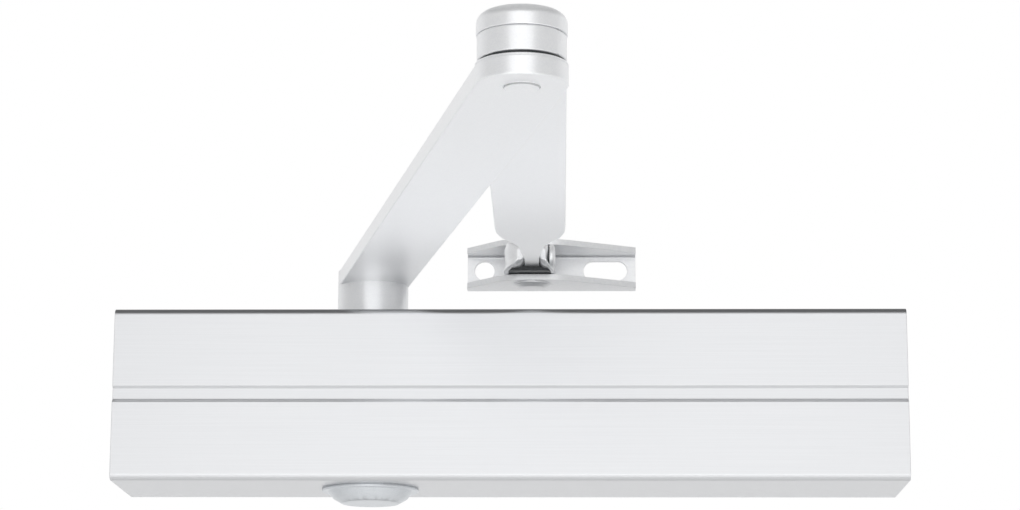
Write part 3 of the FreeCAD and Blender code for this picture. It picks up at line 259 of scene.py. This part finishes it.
# %% Moulded plastics
silver_plastic, tree, shader, place = start_material("silver grey ABS, spark grain", 0.7, 0.38)
shader.inputs["IOR"].default_value = 1.54
spark = grain(tree, place, 0.35)
tone(tree, shader, spark, "#CFD3D7", "#D6D9DC")
gloss(tree, shader, spark, 0.3, 0.36)
relief(tree, shader, spark, 0.004)

black_plastic, tree, shader, place = start_material("black acetal", 0.0, 0.4)
shader.inputs["IOR"].default_value = 1.48
wax = grain(tree, place, 0.8)
tone(tree, shader, wax, "#292C2E", "#33373A")
relief(tree, shader, wax, 0.006)
print("plastics:", silver_plastic.name, "and", black_plastic.name)

# %% [markdown]
# ## Zinc plate: mounting plate, screws
# Bright zinc is a thin crystalline coat with a blue cast. Passivation leaves soft clouds a few
# millimetres wide, and the crystals make the gloss uneven.

# %% Zinc plate
zinc, tree, shader, place = start_material("bright zinc plate", 1.0, 0.3)
clouds = grain(tree, place, 6.0, 4.0)
tone(tree, shader, clouds, "#C0C5CA", "#C8CDD1")
gloss(tree, shader, clouds, 0.3, 0.36)
relief(tree, shader, grain(tree, place, 0.8), 0.002)
print("plate finish:", zinc.name)

# %% [markdown]
# ## Steel, cast aluminium, brass and rubber: the works inside
# These pieces sit in the closed case, but they are part of the model. Turned steel shows rings round
# its axis, one tool feed apart. Castings have a coarse sandy skin. Spring wire is dark from oil
# tempering. Rubber is matt and nearly black.

# %% The works inside


def worked_metal(name, dark, light, roughness, size_mm, height_mm):
    """A metal whose grain follows how it was made."""
    material, tree, shader, place = start_material(name, 1.0, roughness)
    marks = grain(tree, place, size_mm)
    tone(tree, shader, marks, dark, light)
    gloss(tree, shader, marks, roughness - 0.04, roughness + 0.06)
    relief(tree, shader, marks, height_mm)
    return material


turned_steel = worked_metal("turned steel", "#A9ABAD", "#BCBEC0", 0.28, (0.3, 20.0, 20.0), 0.006)
ground_steel = worked_metal("ground steel", "#C2C4C6", "#CFD1D2", 0.16, (8.0, 8.0, 0.3), 0.002)
spring_steel = worked_metal("oil tempered spring wire", "#4A4A4C", "#5E5E60", 0.36, 0.6, 0.008)
cast_aluminium = worked_metal("cast aluminium", "#A6A8AA", "#B8BABC", 0.5, 0.7, 0.05)
brass = worked_metal("turned brass", "#C5A45A", "#D6B76C", 0.24, (8.0, 0.25, 8.0), 0.004)

rubber, tree, shader, place = start_material("nitrile rubber", 0.0, 0.62)
shader.inputs["IOR"].default_value = 1.52
mould = grain(tree, place, 0.5)
tone(tree, shader, mould, "#161616", "#202020")
relief(tree, shader, mould, 0.01)
inner = (turned_steel, ground_steel, spring_steel, cast_aluminium, brass, rubber)
print("inner finishes:", [material.name for material in inner])

# %% [markdown]
# ## Which solid wears what
# The record names a material slot for each solid. One table maps those slots to the finishes above,
# and each solid's own slots are filled from it.

# %% Which solid wears what
FINISH = {
    "silver_anodised": anodised,
    "silver_plastic": silver_plastic,
    "silver_lacquer": lacquer,
    "black_plastic": black_plastic,
    "zinc_plate": zinc,
    "cast_aluminium": cast_aluminium,
    "seal_rubber": rubber,
    "turned_steel": turned_steel,
    "ground_steel": ground_steel,
    "spring_steel": spring_steel,
    "valve_brass": brass,
}
slot_of = {}
for name, solid in frame["nodes"].items():
    slot_of[name] = solid.material_slots[0].material.name.split(".")[0]
    for material_slot in solid.material_slots:
        material_slot.material = FINISH[slot_of[name]]
print("slots in use:", sorted(set(slot_of.values())))

# %% [markdown]
# ## Rounding the edges
# A CAD edge is perfectly sharp, and nothing real is. Folding, sawing and lacquering all leave a small
# round that catches the light, and that bright line is what makes an edge look real. A bevel on a copy
# of the exact solid gives it: merge the copy's points, join its flat triangles, then bevel each edge
# that turns by more than a set angle. Weighted normals keep the flats flat.

# %% Rounding the edges
SAME_POINT = 1e-6  # points nearer than this, in metres, are one
SAME_FLAT = 0.6  # faces that turn by less than this, in degrees, are one

body_of_node = {
    name: body for body, names in frame["record"]["behaviour"]["bodies"].items() for name in names}


def to_mesh(shape, name, smooth_to=30):
    """Turns a bmesh into a smooth mesh, with a crease wherever it turns by more than smooth_to degrees."""
    mesh = bpy.data.meshes.new(name)
    shape.to_mesh(mesh)
    shape.free()
    for face in mesh.polygons:
        face.use_smooth = True
    mesh.set_sharp_from_angle(angle=math.radians(smooth_to))
    return mesh


def show(mesh, body, slot):
    """Makes an object of a mesh, lets it ride on a body and gives it the slot's finish."""
    piece = bpy.data.objects.new(mesh.name, mesh)
    bpy.context.scene.collection.objects.link(piece)
    mesh.materials.clear()
    mesh.materials.append(FINISH[slot])
    normals = piece.modifiers.new("even flats", "WEIGHTED_NORMAL")
    normals.keep_sharp = True
    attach(piece, body)
    return piece


def stand_in(node, mesh):
    """Shows a mesh in place of a solid, on the solid's body and with its finish."""
    piece = show(mesh, body_of_node[node], slot_of[node])
    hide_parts(node)
    return piece


def bevel(shape, edges, radius_mm, steps):
    """Rounds the chosen edges of a bmesh."""
    bmesh.ops.bevel(
        shape, geom=edges, offset=radius_mm * MM, segments=steps, profile=0.5, affect="EDGES",
        clamp_overlap=True)


def bevel_sharp(shape, turn, radius_mm, steps):
    """Rounds the edges of a bmesh that turn by more than an angle in degrees."""
    sharp = [edge for edge in shape.edges if edge.calc_face_angle(0.0) > math.radians(turn)]
    bevel(shape, sharp, radius_mm, steps)


def cut(shape, at, normal, drop_far=True, snap=0.0):
    """Cuts a bmesh along a plane through a point in metres, and drops what lies past it if asked."""
    bmesh.ops.bisect_plane(
        shape, geom=shape.verts[:] + shape.edges[:] + shape.faces[:], dist=snap, plane_co=at,
        plane_no=normal, clear_outer=drop_far)


def solid_copy(node):
    """A bmesh of a solid with its points merged and its flat triangles joined."""
    shape = bmesh.new()
    shape.from_mesh(frame["nodes"][node].data)
    bmesh.ops.remove_doubles(shape, verts=shape.verts, dist=SAME_POINT)
    bmesh.ops.dissolve_limit(
        shape, angle_limit=math.radians(SAME_FLAT), verts=shape.verts, edges=shape.edges)
    return shape


def rounded(node, radius_mm, turn=35, first=None):
    """A copy of a solid with its sharp edges rounded, which stands in for that solid."""
    shape = solid_copy(node)
    if first:
        first(shape)
    bevel_sharp(shape, turn, radius_mm, steps=3)
    return stand_in(node, to_mesh(shape, node + "_rounded"))


ROUNDED = {
    "cover": 0.2,
    "left_end_cap": 0.4,
    "right_end_cap": 0.4,
    "upper_cover_insert": 0.25,
    "lower_cover_insert": 0.25,
    "mounting_plate": 0.3,
    "main_arm": 0.22,
    "arm_screw": 0.2,
    "elbow_cap": 0.25,
    "spindle_cap": 0.35,
    "upper_bearing_cap": 0.2,
}
for node, radius in ROUNDED.items():
    piece = rounded(node, radius)
    print("%-22s %5d faces" % (node, len(piece.data.polygons)))

# %% [markdown]
# ## The forearm's shoulders
# The forearm is a forged bar. Its shoulders swing round in one full curve before the bar narrows to the
# tongue, where the solid has a few straight steps. Widening the copy's outline along a short table of
# half widths, place by place, draws that curve and leaves everything else alone.

# %% The forearm's shoulders
SHOULDER = [  # distance from the case's back in mm, half width of the solid, half width as forged
    (-92.0, 11.9, 11.9),
    (-88.0, 11.9, 11.8),
    (-84.0, 11.9, 11.55),
    (-80.3, 11.4, 11.15),
    (-77.3, 10.48, 10.6),
    (-74.3, 9.55, 9.85),
    (-72.9, 8.8, 9.35),
    (-69.9, 5.7, 8.0),
    (-68.9, 5.2, 7.45),
    (-67.0, 5.01, 6.45),
    (-65.0, 4.8, 5.65),
    (-62.0, 4.5, 4.85),
    (-58.0, 4.17, 4.3),
    (-50.0, 3.5, 3.55),
    (-39.0, 2.55, 2.55),
]
EXTRA_ROWS = (-90.0, -88.0, -86.0, -82.5, -78.5, -76.5, -71.5, -67.8, -66.5, -65.0, -63.7, -60.0, -56.0)
MIDDLE_ALONG = -84.0  # a point on the bar's middle line, in mm along and across
MIDDLE_ACROSS = 7.8
MIDDLE_SLANT = -0.006  # how far that line runs across for each mm along
INNERMOST = 2.4  # points nearer to the line than this, in mm, stay


def between(table, place, column):
    """Reads a table at a place between its rows."""
    for low, high in zip(table, table[1:]):
        if low[0] <= place <= high[0]:
            share = (place - low[0]) / (high[0] - low[0])
            return low[column] + share * (high[column] - low[column])


def swell_shoulders(shape):
    """Cuts a few more rows across the shoulders and moves their sides out along the table."""
    for row in EXTRA_ROWS:
        cut(shape, (0, row * MM, 0), (0, 1, 0), drop_far=False, snap=SAME_POINT)
    for vert in shape.verts:
        place = vert.co.y / MM
        middle = (MIDDLE_ACROSS + MIDDLE_SLANT * (place - MIDDLE_ALONG)) * MM
        beside = abs(vert.co.x - middle) > INNERMOST * MM
        if SHOULDER[0][0] < place < SHOULDER[-1][0] and beside:
            stretch = between(SHOULDER, place, 2) / between(SHOULDER, place, 1)
            vert.co.x = middle + (vert.co.x - middle) * stretch


forearm = rounded("forearm", 0.35, turn=40, first=swell_shoulders)
print("forearm faces:", len(forearm.data.polygons))

# %% [markdown]
# ## The shoe's folded channel
# The shoe is pressed from two-millimetre sheet. The press rounds the front of each flange in a wide
# curve, so those corners are bevelled widely first, and then all edges get the small round of tumbled
# sheet metal.

# %% The shoe's folded channel
FLANGE_FRONT = -22.5  # the flanges' front corners lie past this, in mm
UPRIGHT = 1.5  # an edge that rises by more than this, in mm, goes through the sheet


def round_flange_fronts(shape):
    """A wide bevel on the upright edges at the front of both flanges."""
    corners = [
        edge for edge in shape.edges
        if all(vert.co.y < FLANGE_FRONT * MM for vert in edge.verts)
        and abs(edge.verts[0].co.z - edge.verts[1].co.z) > UPRIGHT * MM]
    bevel(shape, corners, radius_mm=5.0, steps=8)


shoe = rounded("shoe_bracket", 0.35, first=round_flange_fronts)
shoe.material_slots[0].material = pressed_steel
print("shoe faces:", len(shoe.data.polygons))

# %% [markdown]
# ## Turned pieces
# Pins, rivets and caps are turned on a lathe, and Blender can do the same: a half outline, given as
# radius and height, is carried round an axis. An outline with small corner steps gives the domed and
# chamfered ends that a plain cylinder lacks.

# %% The lathe
LATHE_PARTS = 64


def join_rings(shape, near, far):
    """Joins two rings of points by a band of faces. A ring of one point closes the end."""
    for point in range(max(len(near), len(far))):
        after = point + 1
        corners = [
            near[point % len(near)], near[after % len(near)], far[after % len(far)], far[point % len(far)]]
        corners = list(dict.fromkeys(corners))
        if len(corners) > 2:
            shape.faces.new(corners)


def lathe(name, outline_mm, at_mm, axis="Z"):
    """A turned solid. The outline runs from the axis and back to it, or round to its own start."""
    shape = bmesh.new()
    rings = []
    for radius, height in outline_mm:
        ring = []
        for part in range(1 if radius == 0 else LATHE_PARTS):
            angle = 2 * math.pi * part / LATHE_PARTS
            point = Vector((radius * math.cos(angle), radius * math.sin(angle), height))
            if axis == "X":
                point = Vector((point.z, point.x, point.y))
            ring.append(shape.verts.new((point + Vector(at_mm)) * MM))
        rings.append(ring)
    for low, high in zip(rings, rings[1:]):
        join_rings(shape, low, high)
    bmesh.ops.recalc_face_normals(shape, faces=shape.faces)
    return to_mesh(shape, name, 40)


def turned(node, outline_mm, at_mm, axis="Z"):
    """A lathe piece that stands in for a solid."""
    return stand_in(node, lathe(node + "_turned", outline_mm, at_mm, axis))


print("points in a ring of the lathe:", LATHE_PARTS)

# %% [markdown]
# ## The elbow pin
# The pin is pressed through the arm and riveted over underneath, so its end stands a little proud, with
# a chamfer all round. That chamfer is a ring of its own in darker ground steel: a painted shade that
# draws the small dark arc under the elbow. The plastic washer between the two arms is set back a
# little from their rims, and sits in a shallow turned seat.

# %% The elbow pin
ELBOW = (9.078, -288.4035)  # across and along, in mm
ARM_TOP = 47.7
pin_low, pin_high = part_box("elbow_pin")
pin_foot = (*ELBOW, pin_low[2] / MM)
pin_length = (pin_high[2] - pin_low[2]) / MM
turned("elbow_pin", [
    (0, -0.72), (4.4, -0.72), (4.56, -0.64), (5.2, -0.04), (5.24, 0.0), (4.99, 0.05),
    (4.99, pin_length - 0.5), (4.6, pin_length), (0, pin_length),
], pin_foot)
# painted shade: the chamfer ring wears the darker ground steel, so it shows as a dark arc under the elbow
rim = lathe("elbow_pin_rim", [
    (4.5, -0.52), (4.68, -0.58), (5.05, -0.22), (5.0, -0.18), (4.5, -0.18), (4.5, -0.52),
], pin_foot)
show(rim, body_of_node["elbow_pin"], "ground_steel")
print("elbow pin:", round(pin_length, 2), "mm long")

washer_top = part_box("elbow_washer")[1][2] / MM
turned("elbow_washer", [
    (5.05, ARM_TOP), (11.3, ARM_TOP), (11.4, ARM_TOP + 0.1), (11.4, washer_top - 0.1), (11.3, washer_top),
    (5.05, washer_top), (5.05, ARM_TOP),
], (*ELBOW, 0))
arm_end = ELBOW[1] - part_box("main_arm")[0][1] / MM
seat = lathe("elbow_seat", [
    (11.42, ARM_TOP - 0.22), (arm_end, ARM_TOP - 0.22), (arm_end, ARM_TOP + 0.2),
    (arm_end - 0.06, ARM_TOP + 0.28), (arm_end - 0.14, ARM_TOP + 0.34), (11.42, ARM_TOP + 0.34),
    (11.42, ARM_TOP - 0.22),
], (*ELBOW, 0))
show(seat, body_of_node["main_arm"], "silver_lacquer")
print("arm end radius:", round(arm_end, 3), "mm")

# %% [markdown]
# ## A shade ring in the spindle cap's gap
# The cap snaps on under the case and leaves a gap of a fifth of a millimetre. A thin ring of the same
# grey plastic fills it, a little in from the rim, as painted shade: the gap reads as a soft grey line and
# not as a black slit.

# %% A shade ring in the spindle cap's gap
cap_low, cap_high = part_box("spindle_cap")
cap_rim = ((cap_low[0] + cap_high[0]) / 2 / MM, (cap_low[1] + cap_high[1]) / 2 / MM, cap_high[2] / MM)
# painted shade: a grey ring set into the gap, standing in for the soft shade line between cap and case
cap_seal = lathe("cap_seal", [
    (14.6, 0.01), (16.85, 0.01), (16.85, 0.17), (14.6, 0.17), (14.6, 0.01)], cap_rim)
show(cap_seal, body_of_node["spindle_cap"], "silver_plastic")
print("cap rim level:", round(cap_rim[2], 2), "mm")

# %% [markdown]
# ## The shoe's pin
# The pin that the knuckle swings on is riveted over both flanges. Each head has a short upright rim, a
# wide chamfer from the riveting tool and a flat middle.

# %% The shoe's pin
SHOE_PIN = (7.4042, -14.4, 52.75)
HEAD_HEIGHT = 1.5
shoe_pin_low, shoe_pin_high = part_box("shoe_pin")
half = (shoe_pin_high[2] - shoe_pin_low[2]) / MM / 2
head = half - HEAD_HEIGHT
lower_head = [
    (0, -half), (3.9, -half), (4.4, -half + 0.08), (6.2, -head - 0.72), (6.7, -head - 0.52),
    (6.85, -head - 0.3), (6.85, -head), (3.0, -head)]
upper_head = [(radius, -height) for radius, height in reversed(lower_head)]
shoe_pin = turned("shoe_pin", lower_head + upper_head, SHOE_PIN)
shoe_pin.material_slots[0].material = pressed_steel
print("shoe pin:", round(2 * half, 2), "mm over its heads")

# %% [markdown]
# ## The knuckle
# The knuckle is a small casting that swings on the shoe's pin and holds the forearm's tongue between
# two cheeks. The block round the pin is a cut of the exact solid. Each cheek is lofted: a row of cross
# sections is placed from the block to the nose, joined into a tube and smoothed by subdivision. Under
# the tongue the sections spread into a skirt, like the mouth of a bell.

# %% The knuckle
BLOCK_FRONT = 8.0  # mm forward of the pin's middle, where the block is cut
TILT = math.radians(0.35)
ACROSS = Vector((math.cos(TILT), math.sin(TILT), 0))
FORWARD = Vector((math.sin(TILT), -math.cos(TILT), 0))


def knuckle_point(across, forward, up):
    """A point in metres, given in mm across, forward of and above the middle of the shoe's pin."""
    return (Vector(SHOE_PIN) + ACROSS * across + FORWARD * forward + Vector((0, 0, up))) * MM


def cheek(shape, side, rows):
    """Adds a lofted cheek: each row is forward, inner, outer, skirt, top and bottom, in mm."""
    rings = []
    for forward, inner, outer, skirt, top, bottom in rows:
        reach = skirt - inner
        section = [
            (inner, top - 0.5), (inner + 0.5, top), (outer - 1.1, top), (outer, top - 1.0),
            (outer, bottom * 0.4), ((outer + skirt) / 2, bottom * 0.68), (skirt, bottom * 0.9),
            (skirt - 0.05, bottom), (inner + reach * 0.68, bottom * 0.89),
            (inner + reach * 0.36, bottom * 0.8), (inner + reach * 0.11, bottom * 0.67),
            (inner, bottom * 0.45), (inner, top * 0.4),
        ]
        rings.append([shape.verts.new(knuckle_point(side * across, forward, up)) for across, up in section])
    for near, far in zip(rings, rings[1:]):
        join_rings(shape, near, far)
    shape.faces.new(rings[0])
    shape.faces.new(rings[-1])


knuckle = bmesh.new()
cheek(knuckle, -1, [
    (3.0, 2.8, 8.6, 8.8, 5.0, -5.0),
    (5.5, 2.8, 9.2, 9.7, 5.0, -5.0),
    (9.0, 2.8, 9.35, 10.0, 5.0, -5.05),
    (12.0, 2.8, 9.3, 9.9, 4.95, -5.05),
    (14.5, 2.8, 8.7, 9.2, 4.75, -4.9),
    (16.6, 2.8, 7.5, 7.9, 4.2, -4.4),
    (18.1, 2.85, 6.1, 6.3, 3.2, -3.4),
    (18.9, 3.1, 4.9, 5.0, 1.8, -2.0),
])
cheek(knuckle, 1, [
    (3.0, 2.8, 7.0, 7.4, 5.0, -5.0),
    (5.5, 2.8, 6.6, 7.7, 5.0, -5.0),
    (8.0, 2.8, 6.0, 7.75, 5.0, -5.05),
    (10.5, 2.8, 5.55, 7.7, 4.95, -5.05),
    (12.5, 2.8, 5.55, 7.5, 4.9, -5.05),
    (14.5, 2.8, 5.55, 7.0, 4.75, -4.9),
    (16.6, 2.8, 5.5, 6.2, 4.2, -4.4),
    (18.1, 2.85, 5.1, 5.4, 3.2, -3.4),
    (18.9, 3.1, 4.6, 4.7, 1.8, -2.0),
])
bmesh.ops.recalc_face_normals(knuckle, faces=knuckle.faces)
for level in (1, 2):
    bmesh.ops.subdivide_edges(knuckle, edges=knuckle.edges[:], cuts=1, use_grid_fill=True, smooth=1.0)
    print("cheeks, smoothed to level", level, "have", len(knuckle.faces), "faces")
block = solid_copy("yoke")
cut(block, knuckle_point(0, BLOCK_FRONT, 0), FORWARD)
bmesh.ops.holes_fill(block, edges=block.edges[:], sides=0)
bevel_sharp(block, turn=50, radius_mm=0.4, steps=3)
knuckle.from_mesh(to_mesh(block, "knuckle_block"))
knuckle_mesh = to_mesh(knuckle, "knuckle", 50)
stand_in("yoke", knuckle_mesh)
print("knuckle faces:", len(knuckle_mesh.polygons))

# %% [markdown]
# ## The rivet, and painted shade under the tongue
# The tongue tilts on a rivet with one round head. Its other end is hammered flush into the thicker
# cheek. Under the tongue sits a black sheet, painted shade for the hollow between the cheeks: a
# bell-shaped outline, pushed from the block to just under the tongue. A thin black ring of the same
# material under the rivet's head is painted shade for the shadow under that head.

# %% The rivet, and painted shade under the tongue
RIVET_FORWARD = 13.6  # mm forward of the pin's middle
RIVET = Vector(SHOE_PIN) + FORWARD * RIVET_FORWARD
rivet = turned("tilt_rivet", [
    (0, -7.0), (1.68, -7.0), (1.68, 5.5), (3.2, 5.6), (3.2, 6.25), (3.95, 6.3), (4.1, 6.6), (4.05, 7.3),
    (3.75, 7.8), (3.1, 8.12), (2.2, 8.3), (1.1, 8.4), (0, 8.42),
], RIVET, "X")
rivet.material_slots[0].material = lacquer

# painted shade: the outline of the black sheet under the tongue
BELL = [
    (-9.5, -5.1), (-9.2, -4.97), (-7.8, -4.6), (-5.4, -4.2), (-3.6, -3.6), (-2.7, -2.4), (2.7, -2.4),
    (3.4, -3.6), (4.8, -4.2), (6.2, -4.62), (7.2, -4.97), (7.4, -5.1)]
STEM = [(-2.75, -4.9), (-2.75, 4.9), (2.75, 4.9), (2.75, -4.9)]
painted_shade_sheet = bmesh.new()
for outline, back, front in ((BELL, 7.0, 13.0), (STEM, 7.0, 9.4)):
    near, far = [
        [painted_shade_sheet.verts.new(knuckle_point(across, forward, up)) for across, up in outline]
        for forward in (back, front)]
    painted_shade_sheet.faces.new(near)
    painted_shade_sheet.faces.new(far)
    join_rings(painted_shade_sheet, near, far)
bmesh.ops.recalc_face_normals(painted_shade_sheet, faces=painted_shade_sheet.faces)
bevel_sharp(painted_shade_sheet, turn=50, radius_mm=0.15, steps=2)
# painted shade: a thin black ring under the rivet's head
painted_shade_sheet.from_mesh(lathe("rivet_washer", [
    (1.75, 5.55), (3.5, 5.55), (3.5, 6.2), (1.75, 6.2), (1.75, 5.55)], RIVET, "X"))
painted_shade_mesh = to_mesh(painted_shade_sheet, "knuckle_liner")
# painted shade: the black sheet and ring ride on the knuckle, in the black plastic's finish
show(painted_shade_mesh, body_of_node["yoke"], "black_plastic")
print("liner faces:", len(painted_shade_mesh.polygons))

# %% [markdown]
# ## The closing springs
# Opening the door pushes the piston into two coil springs, and the adjusting screw draws the plate at
# their far end inwards. A real spring takes up both by closing all its gaps evenly. Each spring is cut
# into two lengths, in the ratio of the two travels, and each length becomes a piece of its own on the
# spring's body.

# %% The closing springs
travel = {
    joint["name"]: max(abs(limit) for limit in joint["range_m"])
    for joint in frame["joints"] if "range_m" in joint}
both = travel["piston_slide"] + travel["spring_plate_slide"]
ENDS = (("piston_end", "piston_slide", 1), ("plate_end", "spring_plate_slide", -1))
for node in ("outer_spring", "inner_spring"):
    low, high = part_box(node)
    length = high[0] - low[0]
    middle = (low[0] + length * travel["piston_slide"] / both, 0, 0)
    for part, joint, toward in ENDS:
        coil = solid_copy(node)
        cut(coil, middle, (toward, 0, 0))
        bmesh.ops.holes_fill(coil, edges=[edge for edge in coil.edges if edge.is_boundary], sides=0)
        piece = stand_in(node, to_mesh(coil, node + "_" + part, 50))
        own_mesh(piece)

# %% [markdown]
# ## The studio
# The picture is a pack shot: white all round, under a dark grey ceiling that deepens the thin line along
# the case's upper edge. The world is that room. It is near white behind and greyer to the sides and in
# front. What the camera sees of it directly is plain white.

# %% The world
WHITE = hex_linear("#FFFFFF")
CEILING = 0.35
FRONT_WALL = 0.63
BACK_WALL = 0.9
RISES = (0.38, 0.74)  # the upward share of a ray where the ceiling starts, and where it is full
POINTS_BACK = (0.0, 0.7)  # the same for the back wall and a ray's backward share

world = bpy.data.worlds.new("studio")
bpy.context.scene.world = world
world.use_nodes = True
room = world.node_tree
background = room.nodes["Background"]
direction = add(room, "SeparateXYZ", {"Vector": add(room, "TexCoord").outputs["Generated"]})
overhead = add(room, "MapRange", {
    "Value": direction.outputs["Z"], "From Min": RISES[0], "From Max": RISES[1], "To Min": 1.0,
    "To Max": CEILING,
}, interpolation_type="SMOOTHSTEP")
behind = add(room, "MapRange", {
    "Value": direction.outputs["Y"], "From Min": POINTS_BACK[0], "From Max": POINTS_BACK[1],
    "To Min": FRONT_WALL, "To Max": BACK_WALL,
}, interpolation_type="SMOOTHSTEP")
level = add(room, "Math", {0: overhead.outputs[0], 1: behind.outputs[0]}, operation="MULTIPLY")
seen_direct = add(room, "LightPath").outputs["Is Camera Ray"]
paper = add(room, "Math", {0: level.outputs[0], 1: seen_direct}, operation="MAXIMUM")
room.links.new(paper.outputs[0], background.inputs["Strength"])
background.inputs["Color"].default_value = WHITE
print("room: back wall", BACK_WALL, "front wall", FRONT_WALL, "ceiling", CEILING)

# %% [markdown]
# ## The floor
# The floor lies well below the closer, as under a product hung in a light tent. Metal above it mirrors
# it: the slanted edges of the case mirror the grey middle, and the flat undersides mirror the bright far
# part. So the floor glows for the camera and for mirrored rays, hardly at all near its middle and much
# more towards its rim.

# %% The floor
FAR_GLOW = 0.57
EYE_GLOW = 0.1  # near the middle, for the camera; added to the glow for mirrored rays
MIRROR_GLOW = 0.02
GLOW_RUNS = (1.0, 5.0)  # metres from the floor's middle, where it starts to rise and where it is full
FLOOR_RADIUS = 9.0
FLOOR_PLACE = (0, 0.2, -1.2)

floor_material, tree, shader, place = start_material("matt white floor", 0.0, 0.9)
tone(tree, shader, grain(tree, place, 40.0), "#F1F1F1", "#F2F2F2")
seen = add(tree, "LightPath")
by_eye = seen.outputs["Is Camera Ray"]
by_eye_or_mirror = add(tree, "Math", {0: by_eye, 1: seen.outputs["Is Glossy Ray"]}, operation="MAXIMUM")
distance = add(tree, "VectorMath", {0: place}, operation="LENGTH")
near_glow = add(tree, "Math", {0: by_eye, 1: EYE_GLOW, 2: MIRROR_GLOW}, operation="MULTIPLY_ADD")
glow = add(tree, "MapRange", {
    "Value": distance.outputs["Value"], "From Min": GLOW_RUNS[0], "From Max": GLOW_RUNS[1],
    "To Min": near_glow.outputs[0], "To Max": FAR_GLOW,
}, interpolation_type="SMOOTHSTEP")
shine = add(tree, "Math", {0: by_eye_or_mirror.outputs[0], 1: glow.outputs[0]}, operation="MULTIPLY")
shader.inputs["Emission Color"].default_value = WHITE
tree.links.new(shine.outputs[0], shader.inputs["Emission Strength"])
bpy.ops.mesh.primitive_circle_add(
    vertices=96, radius=FLOOR_RADIUS, fill_type="NGON", location=FLOOR_PLACE)
floor = bpy.context.active_object
floor.name = "floor"
floor.data.materials.append(floor_material)
print("floor radius:", round(floor.dimensions.x / 2, 1), "m")

# %% [markdown]
# ## The lamps
# A wide lamp in front adds the glow that curved metal shows down its middle, and a short strip above it
# sharpens that glow at the elbow. A low card draws the bright line along the case's lower edge. The two
# fills, from above and below, only brighten: they don't mirror in the metal, so it still mirrors a dark
# ceiling.

# %% The lamps


def soft_lamp(name, at, aim, width, height, radiance, mirrored):
    """A rectangular lamp whose surface shines at the given radiance."""
    lamp = bpy.data.lights.new(name, "AREA")
    lamp.shape = "RECTANGLE"
    lamp.size = width
    lamp.size_y = height
    lamp.energy = radiance * math.pi * width * height
    holder = bpy.data.objects.new(name, lamp)
    bpy.context.scene.collection.objects.link(holder)
    holder.location = at
    holder.rotation_euler = (Vector(aim) - Vector(at)).to_track_quat("-Z", "Y").to_euler()
    holder.visible_camera = False
    holder.visible_glossy = mirrored


LAMPS = [  # name, place, what it aims at, width, height, radiance, mirrored in the metal
    ("front softbox", (0.0, -1.3, -0.08), (0.0, 0.0, 0.0), 1.2, 1.1, 0.7, True),
    ("low card", (0.0, -0.98, -0.88), (0.0, -0.05, 0.0), 1.6, 0.5, 0.5, True),
    ("key strip", (0.02, -0.88, 0.29), (0.0, -0.29, 0.05), 0.7, 0.16, 0.3, True),
    ("overhead softbox", (0.0, -0.2, 1.6), (0.0, -0.1, 0.0), 2.4, 2.4, 2.5, False),
    ("fill from below", (0.1, -0.35, -1.1), (0.0, -0.1, 0.0), 1.6, 1.2, 1.5, False),
]
for lamp in LAMPS:
    soft_lamp(*lamp)

# %% [markdown]
# ## The camera
# The photograph looks up at the closer by twelve degrees from about a metre away, a little to the
# right of its middle. The place, the turn and the lens were found by matching corners of the case, the
# arm and the shoe to their known sizes.

# %% The camera
LOOKS_UP = 0.2127
ROLL = -0.0036
TURN = 0.0242

camera = bpy.data.objects.new("camera", bpy.data.cameras.new("camera"))
bpy.context.scene.collection.objects.link(camera)
camera.location = (0.0236, -0.9864, -0.1539)
camera.rotation_euler = (math.pi / 2 + LOOKS_UP, ROLL, TURN)
camera.data.lens = 97.2
bpy.context.scene.camera = camera
bpy.context.scene.view_settings.view_transform = "Standard"
print("camera looks up by", round(math.degrees(LOOKS_UP), 1), "degrees")
